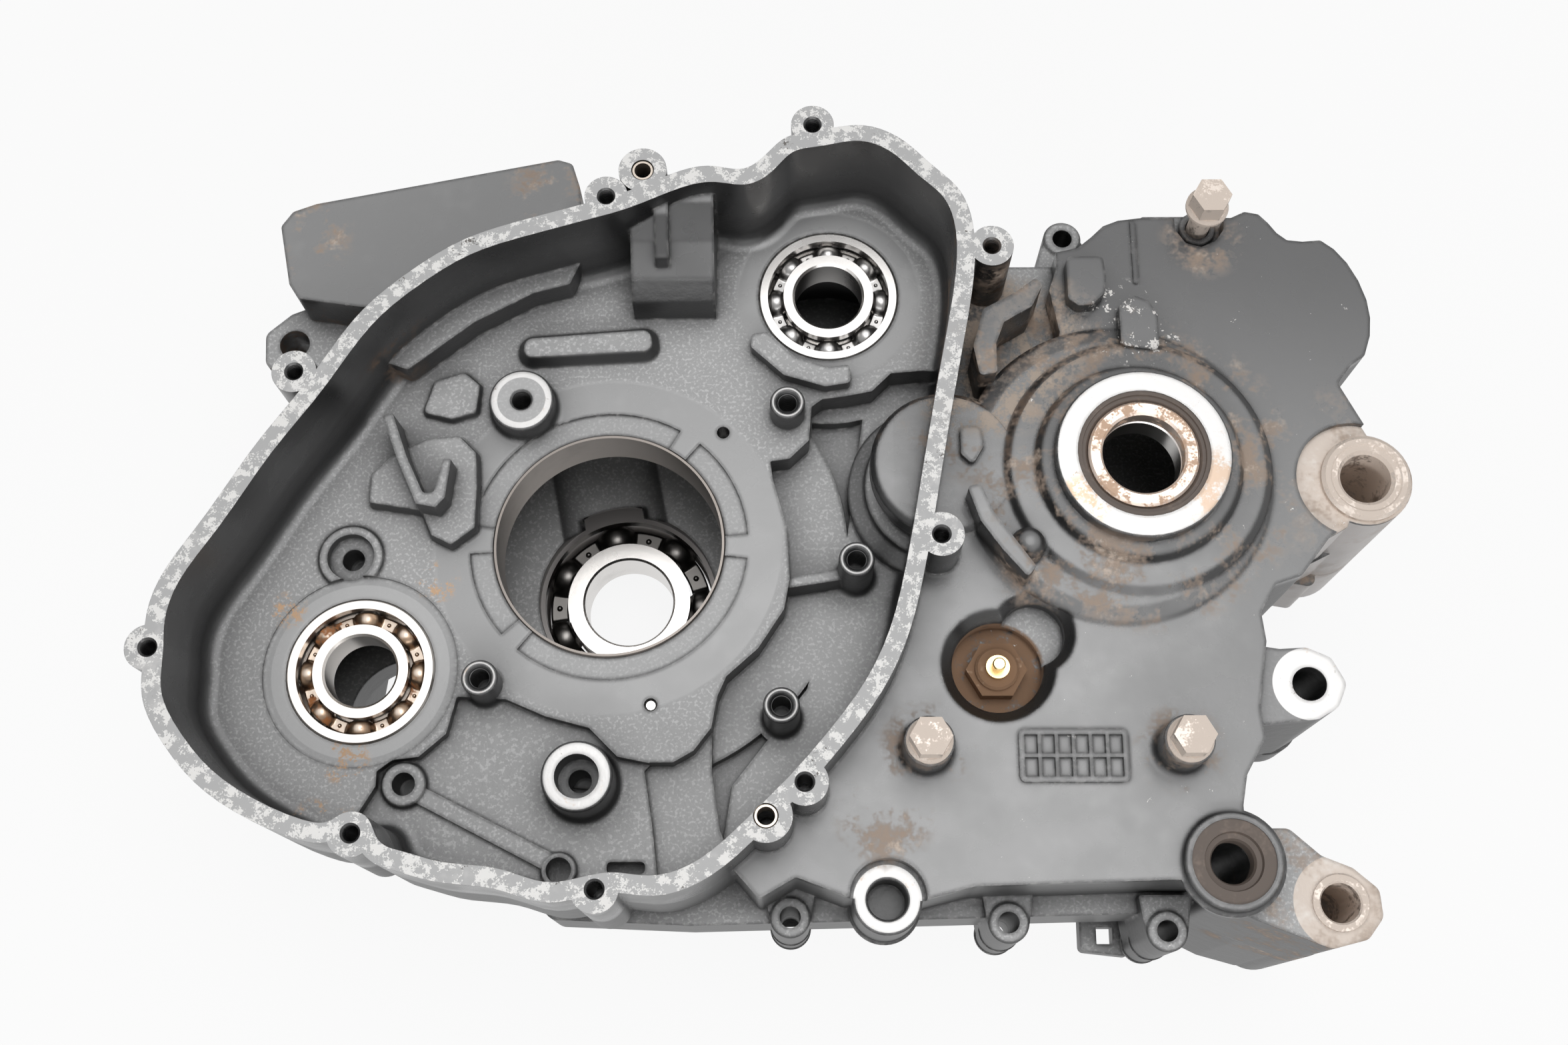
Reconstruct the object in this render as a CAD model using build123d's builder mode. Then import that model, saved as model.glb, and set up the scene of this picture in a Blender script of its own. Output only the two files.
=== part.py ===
from build123d import *
import math
import os

os.makedirs("parts", exist_ok=True)

# Levels along the crankshaft axis. The left side of the engine is up and the web face is zero.
FLANGE_Z = 43.0  # side cover gasket face
WEB_Z = 0.0  # machined web face round the bearings
FLOOR_A = -12.0  # deep floor on the rear side of the cavity
FLOOR_B = -8.0  # middle floor at the bottom
FLOOR_C = -5.0  # shallow floor at the bottom front
SPROCKET_Z = 21.0  # outside floor on the sprocket side
POCKET_Z = 9.0  # floor of the pocket beside the cover wall
BOLT_LEDGE_Z = 13.0  # ledge round the long bolt at the top
SPLIT_Z = -45.0  # joint between the two castings
CHAMBER_TOP = -20.0
CHAMBER_LOW = -74.0
RIGHT_WEB_Z = -100.0
CLUTCH_Z = -128.0  # clutch cover gasket face, and the face the part rests on

# Shafts
CRANK = (0.0, 0.0)
FRONT_BALANCER = (-85.1, -45.9)
REAR_BALANCER = (78.4, 95.9)
INPUT = (118.0, 22.0)
OUTPUT = (183.8, 20.2)
DRUM = (134.0, -49.0)
SHIFT = (207.0, -114.5)

CHAMBER_R = 76.0
BALANCER_CHAMBER_R = 38.0
LINER_BORE_R = 40.0
LINER_OUTER_R = 41.25
PRESS_GAP = 0.02  # radial room of parts pressed into the castings

# Cylinder axis, leaning to the front
LEAN = 11.4
DECK_H = 128.0
SHOULDER_H = 143.0
SPIGOT_R = 44.0
THROAT_R = 36.0

# Cover flange
FLANGE_WIDTH = 6.3
WALL_FOOT_R = 5.0
COVER_SCREWS = [
    (-144.0, -47.8), (-104.5, 48.5), (-0.2, 114.6), (72.4, 142.6), (134.5, 94.9),
    (114.3, -9.9), (68.9, -91.8), (3.4, -125.2), (-73.8, -107.8),
]
COVER_BOSS_R = 7.6
COVER_DOWELS = [(12.4, 124.8), (56.6, -102.5)]
COVER_DOWEL_BOSS_R = 8.5
M6_TAP_R = 2.6
COVER_DOWEL_R = 4.0
SPLIT_DOWELS = [(-98.0, 36.0), (126.0, 90.0)]
SPLIT_DOWEL_R = 6.0

# Inside edge of the cover flange, from the front and over the top
CAVITY = [
    (-139, -45), (-137, -28), (-126, -9), (-109, 20), (-94, 42), (-78, 67), (-62, 82), (-47, 92),
    (-25, 100), (-8, 105), (8, 110), (24, 117), (38, 120), (49, 119), (58, 124), (66, 132), (75, 134),
    (90, 136), (101, 131), (110, 122), (118, 114), (122, 102), (122, 88), (118, 63), (112, 32),
    (107, 4), (102, -22), (97, -41), (88, -60), (77, -75), (64, -90), (52, -102), (40, -113),
    (30, -119), (20, -121), (8, -120), (-11, -123), (-26, -119), (-46, -116.5),
    (-57.2, -113.4), (-62.7, -111.6), (-65.4, -109.1), (-67.3, -105.1), (-69.5, -102.3),
    (-72.5, -101.1), (-75.4, -101.2), (-77.8, -102.2), (-80.6, -104.0), (-84.5, -104.5),
    (-89.3, -103.5),
    (-103, -98), (-119, -88), (-131, -75), (-138, -62),
]

# Lower case outline at the split, from the bottom front and round the rear
CASE = [
    (-62, -105), (-30, -114), (-18, -129), (30, -131), (188, -127), (218, -118), (213, -98),
    (214, -86), (221, -74), (220, -64), (224, -41), (229, -21), (238, -18), (250, -4), (262, 2),
    (267, 33), (263, 40), (256.5, 51), (266, 60), (271, 76), (267.5, 92), (259, 105), (249, 107),
    (242, 108), (236, 117), (228, 119.5), (192, 119.5), (182, 115.5), (174, 109), (157, 107),
    (144, 104), (128, 110), (104, 134), (80, 142), (36, 138), (-86, 113), (-100, 84), (-122, 20),
    (-129, -46), (-122, -70), (-100, -90),
]
# Outline of the raised sprocket side, whose front edge runs under the cover wall
SPROCKET_SIDE = [
    (40, -110), (54, -126), (66, -119), (82, -125), (108, -126), (124, -122), (186, -120),
    (212, -120), (212, -96), (214, -86), (221, -74), (220, -64), (224, -41), (223, -31),
    (229, -21), (238, -18), (249, -4), (256, 0), (262, 17), (266.5, 32), (262.5, 40), (256.6, 52),
    (262, 59), (267, 62.5), (269.6, 70), (270.4, 77), (269.8, 84), (267.6, 91.5), (264.2, 98.5),
    (260, 104), (255.5, 107.5), (249, 107), (243.5, 107.6), (240, 110.5), (237.2, 114.5),
    (234, 118), (229, 119), (224, 116.6), (191, 116.6), (183, 115.6), (177.5, 113.4), (173, 109),
    (168, 104.8), (160, 103), (144, 103), (122, 106), (92, 60),
    (84, 0), (70, -50), (44, -84),
]
# Deep pocket between the cover wall and the gearbox
POCKET = [
    (104, 44), (130, 41), (144, 51), (158.5, 62), (160, 72), (157, 88), (160, 97), (160, 110),
    (116, 112), (104, 100),
]
GEARBOX = [
    (96, -74), (96, -116), (182, -118), (196, -100), (211, -92), (211, -62), (214, -28), (232, -6),
    (236, 17), (244, 48), (258, 70), (258, 90), (238, 100), (228, 110), (190, 110), (164, 102),
    (150, 90), (136, 60), (94, 36), (86, 10), (88, -20),
]
GEARBOX_HIGH = [
    (158, -16), (206, -24), (230, -4), (234, 17), (238, 48), (252, 72), (252, 88), (236, 96),
    (226, 104), (190, 104), (166, 94), (156, 60), (154, 22),
]
RIGHT_CASE = [
    (-60, -103), (-28, -115), (-14, -127), (30, -130), (186, -126), (216, -116), (217, -67),
    (221, -36), (234, -20), (252, 0), (262, 37), (266, 66), (266, 92), (240, 108), (232, 116),
    (160, 108), (128, 110), (104, 134), (80, 141), (36, 137), (-84, 112), (-98, 84), (-120, 20),
    (-127, -46), (-120, -70), (-98, -87),
]
RIGHT_DRAFT = 5.0

# Mounts
UPPER_MOUNT = (263.5, 17.2)
UPPER_TUBE_R = 16.4
SPOT_FACE_R = 20.8
UPPER_BUSH_R = 14.6
UPPER_HOLE_R = 8.8
UPPER_TOP = 18.0
UPPER_LOW = -77.0
MID_MOUNT = (238.0, -55.0)
MID_FACE_R = 12.5
MID_HOLE_R = 5.8
MID_TOP = 18.0
MID_LOW = -60.0
LOWER_MOUNT = (244.0, -126.3)
LOWER_TUBE_R = 13.5
LOWER_SLEEVE_R = 9.2
LOWER_HOLE_R = 6.5
LOWER_TOP = 10.0
LOWER_LOW = -112.0
FRONT_MOUNT = (-118.0, 77.0)
FRONT_MOUNT_HOLE_R = 5.5
FRONT_MOUNT_Z = 0.0

# Output shaft boss
SEAL_FACE_Z = 38.0
SEAL_R = 22.5
SHIFT_SHAFT_R = 7.0
SHIFT_HOLE_R = 8.5
SHIFT_SEAL_R = 13.7
SHIFT_SEAL_Z = 17.5
COLLAR_R = 18.8
COLLAR_BORE_R = 14.0
SEAL_LIP_GAP = 0.07
SEAL_DEPTH = 7.0

# Posts inside the cavity
POST_R = 6.25
POST_TOP = 12.0
POSTS = [(63.3, 49.1), (87.3, -9.2), (61.2, -60.6), (-41.5, -51.0)]

# Long bolts through the sprocket side
BOLTS = [(109.0, -77.7), (192.6, -77.3)]
BOLT_R = 4.0
BOLT_HOLE_R = 4.4
BOLT_SEAT = 37.0
BOLT_LENGTH = 104.0
TOP_BOLT = (213.0, 115.4)
TOP_BOLT_SEAT = 31.0
TOP_BOLT_LENGTH = 97.0
HEAD_FLANGE_R = 7.6
HEAD_HEX = 12.0


def clockwise(points):
    """True when the outline runs clockwise seen from above."""
    return sum(a[0] * b[1] - b[0] * a[1] for a, b in zip(points, points[1:] + points[:1])) < 0


def swell(points, distance):
    """The outline moved outwards by a distance, or inwards when it is negative."""
    side = 1.0 if clockwise(points) else -1.0
    moved = []
    for before, here, after in zip(points[-1:] + points[:-1], points, points[1:] + points[:1]):
        dx, dy = after[0] - before[0], after[1] - before[1]
        size = math.hypot(dx, dy)
        moved.append((here[0] - side * distance * dy / size, here[1] + side * distance * dx / size))
    return moved


def on_deck(u, h):
    """A point given across and along the cylinder axis."""
    c, s = math.cos(math.radians(LEAN)), math.sin(math.radians(LEAN))
    return (u * c - h * s, u * s + h * c)


def slab(points, low, high, radius=2.0, taper=0.0, mode=Mode.ADD):
    """One filleted outline raised between two levels of the part being built."""
    if clockwise(points):
        points = points[::-1]
    with BuildSketch(Plane.XY.offset(low)) as outline:
        with BuildLine():
            FilletPolyline(*points, radius=radius, close=True)
        make_face()
    extrude(outline.sketch, amount=high - low, taper=taper, mode=mode)


def upright(x, y):
    """The plane in which a turned shape about the line through x, y is drawn."""
    return Plane(origin=(x, y, 0), x_dir=(1, 0, 0), z_dir=(0, -1, 0))


def turned(x, y, profile, mode=Mode.ADD):
    """A turned shape whose profile lists radius and level."""
    with BuildSketch(upright(x, y)) as section:
        with BuildLine():
            Polyline(*profile, close=True)
        make_face()
    revolve(section.sketch, axis=Axis((x, y, 0), (0, 0, 1)), mode=mode)


def post(x, y, low, high, radius, flare, edge=0.8):
    """A cast post with a hollow flare at its foot and a broken top edge."""
    near = flare * (1 - math.sqrt(0.5))
    with BuildSketch(upright(x, y)) as section:
        with BuildLine():
            ThreePointArc(
                (radius + flare, low), (radius + near, low + near), (radius, low + flare)
            )
            Polyline(
                (radius, low + flare), (radius, high - edge), (radius - edge, high), (0, high),
                (0, low - 2), (radius + flare, low - 2), (radius + flare, low),
            )
        make_face()
    revolve(section.sketch, axis=Axis((x, y, 0), (0, 0, 1)))


def drill(x, y, radius, low, high, sink=0.0):
    """A drilled hole, with a countersink at its top when sink is given."""
    with Locations((x, y, low)):
        Cylinder(radius, high - low, align=(Align.CENTER, Align.CENTER, Align.MIN))
    if sink:
        turned(x, y, [(0, high - sink), (radius, high - sink), (radius + sink, high),
                      (radius + sink, high + 0.5), (0, high + 0.5)])


def tub(floor, step=0.0):
    """The cavity down to one floor, with the cast radius where the wall meets it."""
    with BuildPart() as hollow:
        with BuildSketch(Plane.XY.offset(floor)):
            with BuildLine():
                Spline(*swell(CAVITY, -step), periodic=True)
            make_face()
        extrude(amount=FLANGE_Z + 1 - floor)
        fillet(hollow.faces().sort_by(Axis.Z)[0].edges(), WALL_FOOT_R)
    return hollow.part


# Front and rear faces of the drain column under the top of the flange
COLUMN_FRONT = 7.0
COLUMN_REAR = 37.0

# Parts of the cavity floor below the web face
LOW_A = [
    (37, -66), (39, -55), (42, -48), (53, -38), (62, -24), (64, -13), (63, 6), (58, 24), (57, 31),
    (64, 32), (71, 39), (72, 52), (76, 55), (84, 56), (94, 58), (101, 65), (113, 66), (126, 64),
    (126, 0), (112, -50), (46, -114), (40, -100), (37, -80),
]
LOW_B = [(14, -80), (16, -78), (24, -78), (31, -74), (37, -66), (48, -70), (56, -100), (50, -126),
         (21, -130), (17, -98)]
LOW_C = [
    (-92, -112), (-77, -86), (-77, -81), (-72, -77), (-63, -76), (-54, -68), (-51, -55), (-34, -56),
    (-20, -62), (-5, -66), (5, -76), (20, -79), (30, -98), (32, -130), (-20, -130),
]



def low_floor(region, floor, step):
    """The cavity over one of the lower floors."""
    with BuildPart() as hollow:
        slab(region, floor - 1, FLANGE_Z + 2, 0.8)
        add(tub(floor, step), mode=Mode.INTERSECT)
    return hollow.part


# Everything cut out from the cover side
with BuildPart() as cavity:
    add(tub(WEB_Z))
    for region, floor, step in ((LOW_A, FLOOR_A, 0.05), (LOW_B, FLOOR_B, 0.10), (LOW_C, FLOOR_C, 0.15)):
        add(low_floor(region, floor, step))

# Walls of the left casting
with BuildPart() as walls:
    slab(CASE, SPLIT_Z, WEB_Z - 18, 5.0)
    slab(SPROCKET_SIDE, WEB_Z - 20, SPROCKET_Z, 1.6)
    slab(POCKET, POCKET_Z, SPROCKET_Z + 1, 1.8, mode=Mode.SUBTRACT)
    slab([(189, 108), (193, 121.2), (224, 121.2), (228, 108)], SPLIT_Z, BOLT_LEDGE_Z, 1.5)
    slab([(203.5, 123), (203.5, 112), (207, 106.6), (212.5, 105), (218, 107.5), (221, 112), (222, 123)],
         BOLT_LEDGE_Z, SPROCKET_Z + 1, 1.5, mode=Mode.SUBTRACT)
    with BuildSketch(Plane.XY.offset(SPLIT_Z)):
        Circle(CHAMBER_R + 9)
        with Locations(FRONT_BALANCER, REAR_BALANCER):
            Circle(BALANCER_CHAMBER_R + 8)
    extrude(amount=WEB_Z - 6 - SPLIT_Z)
    # The neck under the cylinder, and the shoulder in front of it
    neck = [on_deck(-64, 40), on_deck(60, 40), on_deck(60, DECK_H), on_deck(-64, DECK_H)]
    slab(neck, SPLIT_Z, WEB_Z + 4, 4.0)
    shoulder = [
        (-90, 83), (-112.4, 86.4), (-115.9, 91.8), (-120.8, 114.9), (-116.9, 120.8),
        on_deck(-82, SHOULDER_H), on_deck(7.5, SHOULDER_H), (-15.6, 140), (-12.6, 130.6),
        (-10, 106), (-40, 80),
    ]
    slab(shoulder, SPLIT_Z, SPROCKET_Z - 1, 2.5)
    # The drum that carries the cover flange
    with BuildSketch(Plane.XY.offset(WEB_Z - 10)):
        with BuildLine():
            Spline(*swell(CAVITY, FLANGE_WIDTH), periodic=True)
        make_face()
        with Locations(*COVER_SCREWS):
            Circle(COVER_BOSS_R)
        with Locations(*COVER_DOWELS):
            Circle(COVER_DOWEL_BOSS_R)
    extrude(amount=FLANGE_Z - WEB_Z + 10)

# Bosses and ribs that stand in the cavity
with BuildPart() as inside:
    for x, y in POSTS[:3]:
        post(x, y, FLOOR_A, POST_TOP, POST_R, 2.6)
    post(*POSTS[3], FLOOR_C, POST_TOP, POST_R, 2.6)
    post(-32, 51, WEB_Z, 10, 11.6, 2.5)
    post(-7, -85, FLOOR_C, 14, 12.0, 3.0)
    post(-91, -5, WEB_Z, 1.6, 11.5, 1.2, 0.6)
    post(-68, -85, FLOOR_C, -2.0, 7.7, 1.5, 0.6)
    post(-14, -114, FLOOR_C, -2.6, 6.2, 0.5, 0.6)
    slab([(-66, -90), (-63, -85), (-12, -110.5), (-15, -116)], FLOOR_C - 1, -3.0, 1.0)
    # Stepped dome over the gearbox input bearing
    turned(*INPUT, [(0, -24), (33, -24), (33, FLOOR_A + 4), (27.5, -5), (27, -2), (22.5, -1),
                    (22, 1), (17.5, 1.5), (16.5, 3), (0, 3)])
    # Wall that ties one post to the web
    slab([(60, -12), (60, -17), (86, -13), (86, -7)], FLOOR_A - 1, -2.0, 1.0, taper=4)
    # Catcher pad with its V-shaped rib
    slab([(-86, 13), (-86, 25), (-78, 33), (-66, 39), (-54, 40), (-47, 33), (-46, 21), (-46, 4),
          (-55, -3), (-63, 1), (-67, 10)], WEB_Z - 1, 5.5, 2.0, taper=10)
    slab([(-80.5, 43), (-76, 44.5), (-70, 28), (-63.5, 14.5), (-60.5, 14.5), (-58, 27), (-54, 27),
          (-55.5, 12), (-59, 8), (-66.5, 9.5), (-74.5, 27)], WEB_Z - 1, 16, 1.0, taper=2)
    # Drain column under the top of the flange
    column = Plane(origin=(COLUMN_FRONT, 0, 0), x_dir=(0, 1, 0), z_dir=(1, 0, 0))
    with BuildSketch(column) as side:
        with BuildLine():
            FilletPolyline((128, WEB_Z - 2), (128, 36), (117, 34), (106, 25), (94, 19), (88, 12),
                           (86.5, WEB_Z - 2), radius=2.5, close=True)
        make_face()
    extrude(side.sketch, amount=COLUMN_REAR - COLUMN_FRONT)
    with BuildSketch(column.offset(9)) as side:
        with BuildLine():
            FilletPolyline((126, 20), (126, 39), (112, 35), (99, 26), (94, 10), radius=2.0, close=True)
        make_face()
    extrude(side.sketch, amount=5.0)
    # Ledge over the cylinder spigot
    slab([(-90, 68), (-73, 62), (-50, 80.5), (-29, 92), (-16, 95.5), (-9, 112), (-30, 108),
          (-64, 94)], WEB_Z - 1, 12, 1.5)
    # Bar round the front of the rear balancer bearing
    slab([(50, 78), (50, 73), (62, 62), (77, 57.5), (86, 59), (86, 66), (78, 65), (66, 69), (56, 79)],
         FLOOR_A, 6, 1.5)
    # Soft bump across the web
    slab([(-36, 66), (-36, 80), (16, 84), (18, 69)], WEB_Z - 1, 5.0, 6.5, taper=30)
    slab([(-70, 48), (-66, 62), (-54, 66), (-47, 60), (-48, 48), (-58, 45)], WEB_Z - 1, 3.0, 3.0, taper=20)

# Bosses and ribs on the sprocket side
with BuildPart() as outside:
    turned(177.1, 18.6, [(0, 14), (54.5, 14), (54.5, SPROCKET_Z), (53, 22), (48, 24.0), (0, 24.0)])
    turned(*OUTPUT, [(0, 14), (46.5, 14), (46.5, 24), (43.5, 26.3), (36, 27), (34, 30.5),
                     (33.4, 30.9), (29.8, 32), (29.8, SEAL_FACE_Z - 0.6), (29.2, SEAL_FACE_Z),
                     (0, SEAL_FACE_Z)])
    turned(*INPUT, [(0, 14), (26, 14), (26, SPROCKET_Z + 1), (24, 24.2), (0, 24.2)])
    post(*SHIFT, SPROCKET_Z, 24.5, 16.0, 1.5)
    for x, y in BOLTS:
        post(x, y, SPROCKET_Z, BOLT_SEAT, 8.3, 2.5, 0.5)
    post(*TOP_BOLT, BOLT_LEDGE_Z, BOLT_LEDGE_Z + 2.4, 6.6, 0.6, 0.4)
    post(95.8, -125.5, -12, 14, 11.4, 1.0)
    turned(144.7, -9, [(0, 18), (7.4, 18), (7.4, SPROCKET_Z), (6.1, 23), (6.1, 27.5), (5.3, 30),
                       (3.6, 31.9), (1.6, 32.7), (0, 32.7)])
    # Chain guard rib, fin and teardrop beside the cover wall
    slab([(151, 88), (153, 85), (149, 77), (139, 71), (136, 63), (136, 52), (130, 51), (128, 62),
          (132, 76), (143, 82)], POCKET_Z - 1, 32, 1.4)
    slab([(124, 9), (128.5, 10), (132.5, 0), (139, -9), (146, -19), (143, -22.5), (135, -13),
          (128, -3)], SPROCKET_Z - 2, 36, 1.0)
    slab([(123, 34), (130, 34), (131, 27), (127, 20), (123, 24)], SPROCKET_Z - 2, 27, 1.6)
    slab([(162.5, 98), (175.5, 98), (176.3, 90), (175.6, 84), (171, 79.5), (166, 79), (162.5, 82)],
         SPROCKET_Z - 2, 28, 1.8)
    slab([(180.3, 64), (180.3, 79.5), (186, 83), (191, 80.8), (193.8, 75), (193.4, 62)],
         SPROCKET_Z - 2, 27.5, 2.0)
    slab([(187.2, 90.5), (187.2, 115), (189, 115), (189, 90.5)], SPROCKET_Z - 1, SPROCKET_Z + 0.7, 0.5)
    # Raised grid
    slab([(139.5, -71), (175.5, -71), (175.5, -88.5), (139.5, -88.5)], SPROCKET_Z - 1, SPROCKET_Z + 1, 2.0)
    # Ears on the rear edge
    slab([(210, -40), (229, -43), (238, -42.5), (246, -46), (250.5, -55), (247, -63), (240, -67),
          (210, -70)], SPLIT_Z, MID_TOP, 4.0)
    slab([(205, -96), (221, -102), (229, -102), (239, -111), (249, -115), (257, -122), (257.5, -131),
          (252, -138), (240, -141), (222, -134), (202, -126)], SPLIT_Z, LOWER_TOP, 4.0)
    with Locations((*UPPER_MOUNT, SPLIT_Z)):
        Cylinder(UPPER_TUBE_R, UPPER_TOP - SPLIT_Z, align=(Align.CENTER, Align.CENTER, Align.MIN))
    slab([(-96, 60), (-128, 68), (-129, 81), (-120, 89), (-110, 93), (-92, 92)], -26, FRONT_MOUNT_Z, 4.0)
    # Lugs of the case bolts
    for x, y, level in ((64, -128.5, -14), (138, -130.5, -12), (191, -133.5, -10)):
        post(x, y, SPLIT_Z + 2, level, 7.0, 0.4)
        slab([(x - 9, y + 12), (x - 7, y - 1), (x + 7, y - 1), (x + 9, y + 12)], SPLIT_Z, level - 1, 1.0)
    post(166, 119, SPLIT_Z + 2, 0, 7.0, 0.4)
    slab([(155, 106), (159, 118), (173, 118), (178, 106)], SPLIT_Z, -1, 1.0)

# Chambers cut from the split
with BuildPart() as chambers:
    with BuildSketch(Plane.XY.offset(SPLIT_Z - 1)):
        Circle(CHAMBER_R)
    extrude(amount=CHAMBER_TOP - SPLIT_Z + 1)
    with BuildSketch(Plane.XY.offset(SPLIT_Z - 1)):
        with Locations(FRONT_BALANCER, REAR_BALANCER):
            Circle(BALANCER_CHAMBER_R)
    extrude(amount=-18 - SPLIT_Z + 1)
    slab(GEARBOX, SPLIT_Z - 1, CHAMBER_TOP, 5.0)
    slab(GEARBOX_HIGH, SPLIT_Z, SPROCKET_Z - 9, 5.0)
    slab([(44, -90), (44, -118), (86, -118), (86, -86), (70, -84)], SPLIT_Z - 1, -24, 4.0)

DECK_AXIS = (-math.sin(math.radians(LEAN)), math.cos(math.radians(LEAN)), 0)
with BuildPart() as cylinder_room:
    with Locations(Plane(origin=(0, 0, SPLIT_Z), z_dir=DECK_AXIS)):
        Cylinder(THROAT_R, DECK_H, align=(Align.CENTER, Align.CENTER, Align.MIN))
    with Locations(Plane(origin=(DECK_AXIS[0] * 112, DECK_AXIS[1] * 112, SPLIT_Z), z_dir=DECK_AXIS)):
        Cylinder(SPIGOT_R, 50, align=(Align.CENTER, Align.CENTER, Align.MIN))
    slab([on_deck(-66, DECK_H), on_deck(66, DECK_H), on_deck(66, 170), on_deck(-66, 170)],
         -112, 3.0, 1.0)
    for u in (-49, 49):
        for z in (SPLIT_Z - 32, SPLIT_Z + 32):
            x, y = on_deck(u, DECK_H - 26)
            with Locations(Plane(origin=(x, y, z), z_dir=DECK_AXIS)):
                Cylinder(4.3, 30, align=(Align.CENTER, Align.CENTER, Align.MIN))

# Bearings and the bores they sit in
BEARINGS = {
    "front_balancer": dict(at=FRONT_BALANCER, top=WEB_Z, outer=26.0, bore=12.5, width=15.0,
                           inner_land=16.6, outer_land=22.4, pitch=19.4, ball=4.4, count=8),
    "rear_balancer": dict(at=REAR_BALANCER, top=WEB_Z, outer=26.0, bore=12.5, width=15.0,
                          inner_land=16.6, outer_land=22.4, pitch=19.4, ball=4.4, count=8),
    "right_main": dict(at=CRANK, top=-79.0, outer=40.0, bore=17.5, width=21.0,
                       inner_land=24.2, outer_land=33.2, pitch=28.7, ball=7.0, count=7),
    "output": dict(at=OUTPUT, top=SEAL_FACE_Z - SEAL_DEPTH - 1, outer=26.0, bore=14.0, width=12.0,
                   inner_land=17.4, outer_land=22.8, pitch=20.1, ball=3.6, count=10),
}
BALL_GAP = 0.3
CAGE_SHARE = 0.30


def bearing_groove(b):
    """Centre level of the balls of one bearing."""
    return b["top"] - b["width"] / 2


for name, b in BEARINGS.items():
    middle = bearing_groove(b)
    low = b["top"] - b["width"]
    with BuildPart() as outer_race:
        with BuildSketch(upright(*b["at"])) as section:
            with BuildLine():
                Polyline((b["outer_land"], low), (b["outer"] - PRESS_GAP - 0.8, low),
                         (b["outer"] - PRESS_GAP, low + 0.8), (b["outer"] - PRESS_GAP, b["top"] - 0.8),
                         (b["outer"] - PRESS_GAP - 0.8, b["top"]), (b["outer_land"], b["top"]), close=True)
            make_face()
            with Locations((b["pitch"], middle)):
                Circle(b["ball"] + BALL_GAP, mode=Mode.SUBTRACT)
        revolve(section.sketch, axis=Axis((*b["at"], 0), (0, 0, 1)))
    outer_race.part.label = name + "_outer_race"
    export_step(outer_race.part, "parts/" + name + "_outer_race.step")
    with BuildPart() as inner_race:
        with BuildSketch(upright(*b["at"])) as section:
            with BuildLine():
                Polyline((b["bore"] + 0.8, low), (b["inner_land"], low), (b["inner_land"], b["top"]),
                         (b["bore"] + 0.8, b["top"]), (b["bore"], b["top"] - 0.8), (b["bore"], low + 0.8),
                         close=True)
            make_face()
            with Locations((b["pitch"], middle)):
                Circle(b["ball"] + BALL_GAP, mode=Mode.SUBTRACT)
        revolve(section.sketch, axis=Axis((*b["at"], 0), (0, 0, 1)))
    inner_race.part.label = name + "_inner_race"
    export_step(inner_race.part, "parts/" + name + "_inner_race.step")
    with BuildPart() as balls:
        with Locations((*b["at"], middle)):
            with PolarLocations(b["pitch"], b["count"]):
                Sphere(b["ball"])
    balls.part.label = name + "_balls"
    export_step(balls.part, "parts/" + name + "_balls.step")
    half = b["ball"] * CAGE_SHARE
    with BuildPart() as cage:
        with Locations((*b["at"], middle)):
            Cylinder(b["pitch"] + half, 2 * b["ball"] + 1.0)
            Cylinder(b["pitch"] - half, 2 * b["ball"] + 2.0, mode=Mode.SUBTRACT)
            with PolarLocations(b["pitch"], b["count"]):
                Cylinder(b["ball"] + 0.15, 4 * half, rotation=(0, 90, 0), mode=Mode.SUBTRACT)
    cage.part.label = name + "_cage"
    export_step(cage.part, "parts/" + name + "_cage.step")

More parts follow.
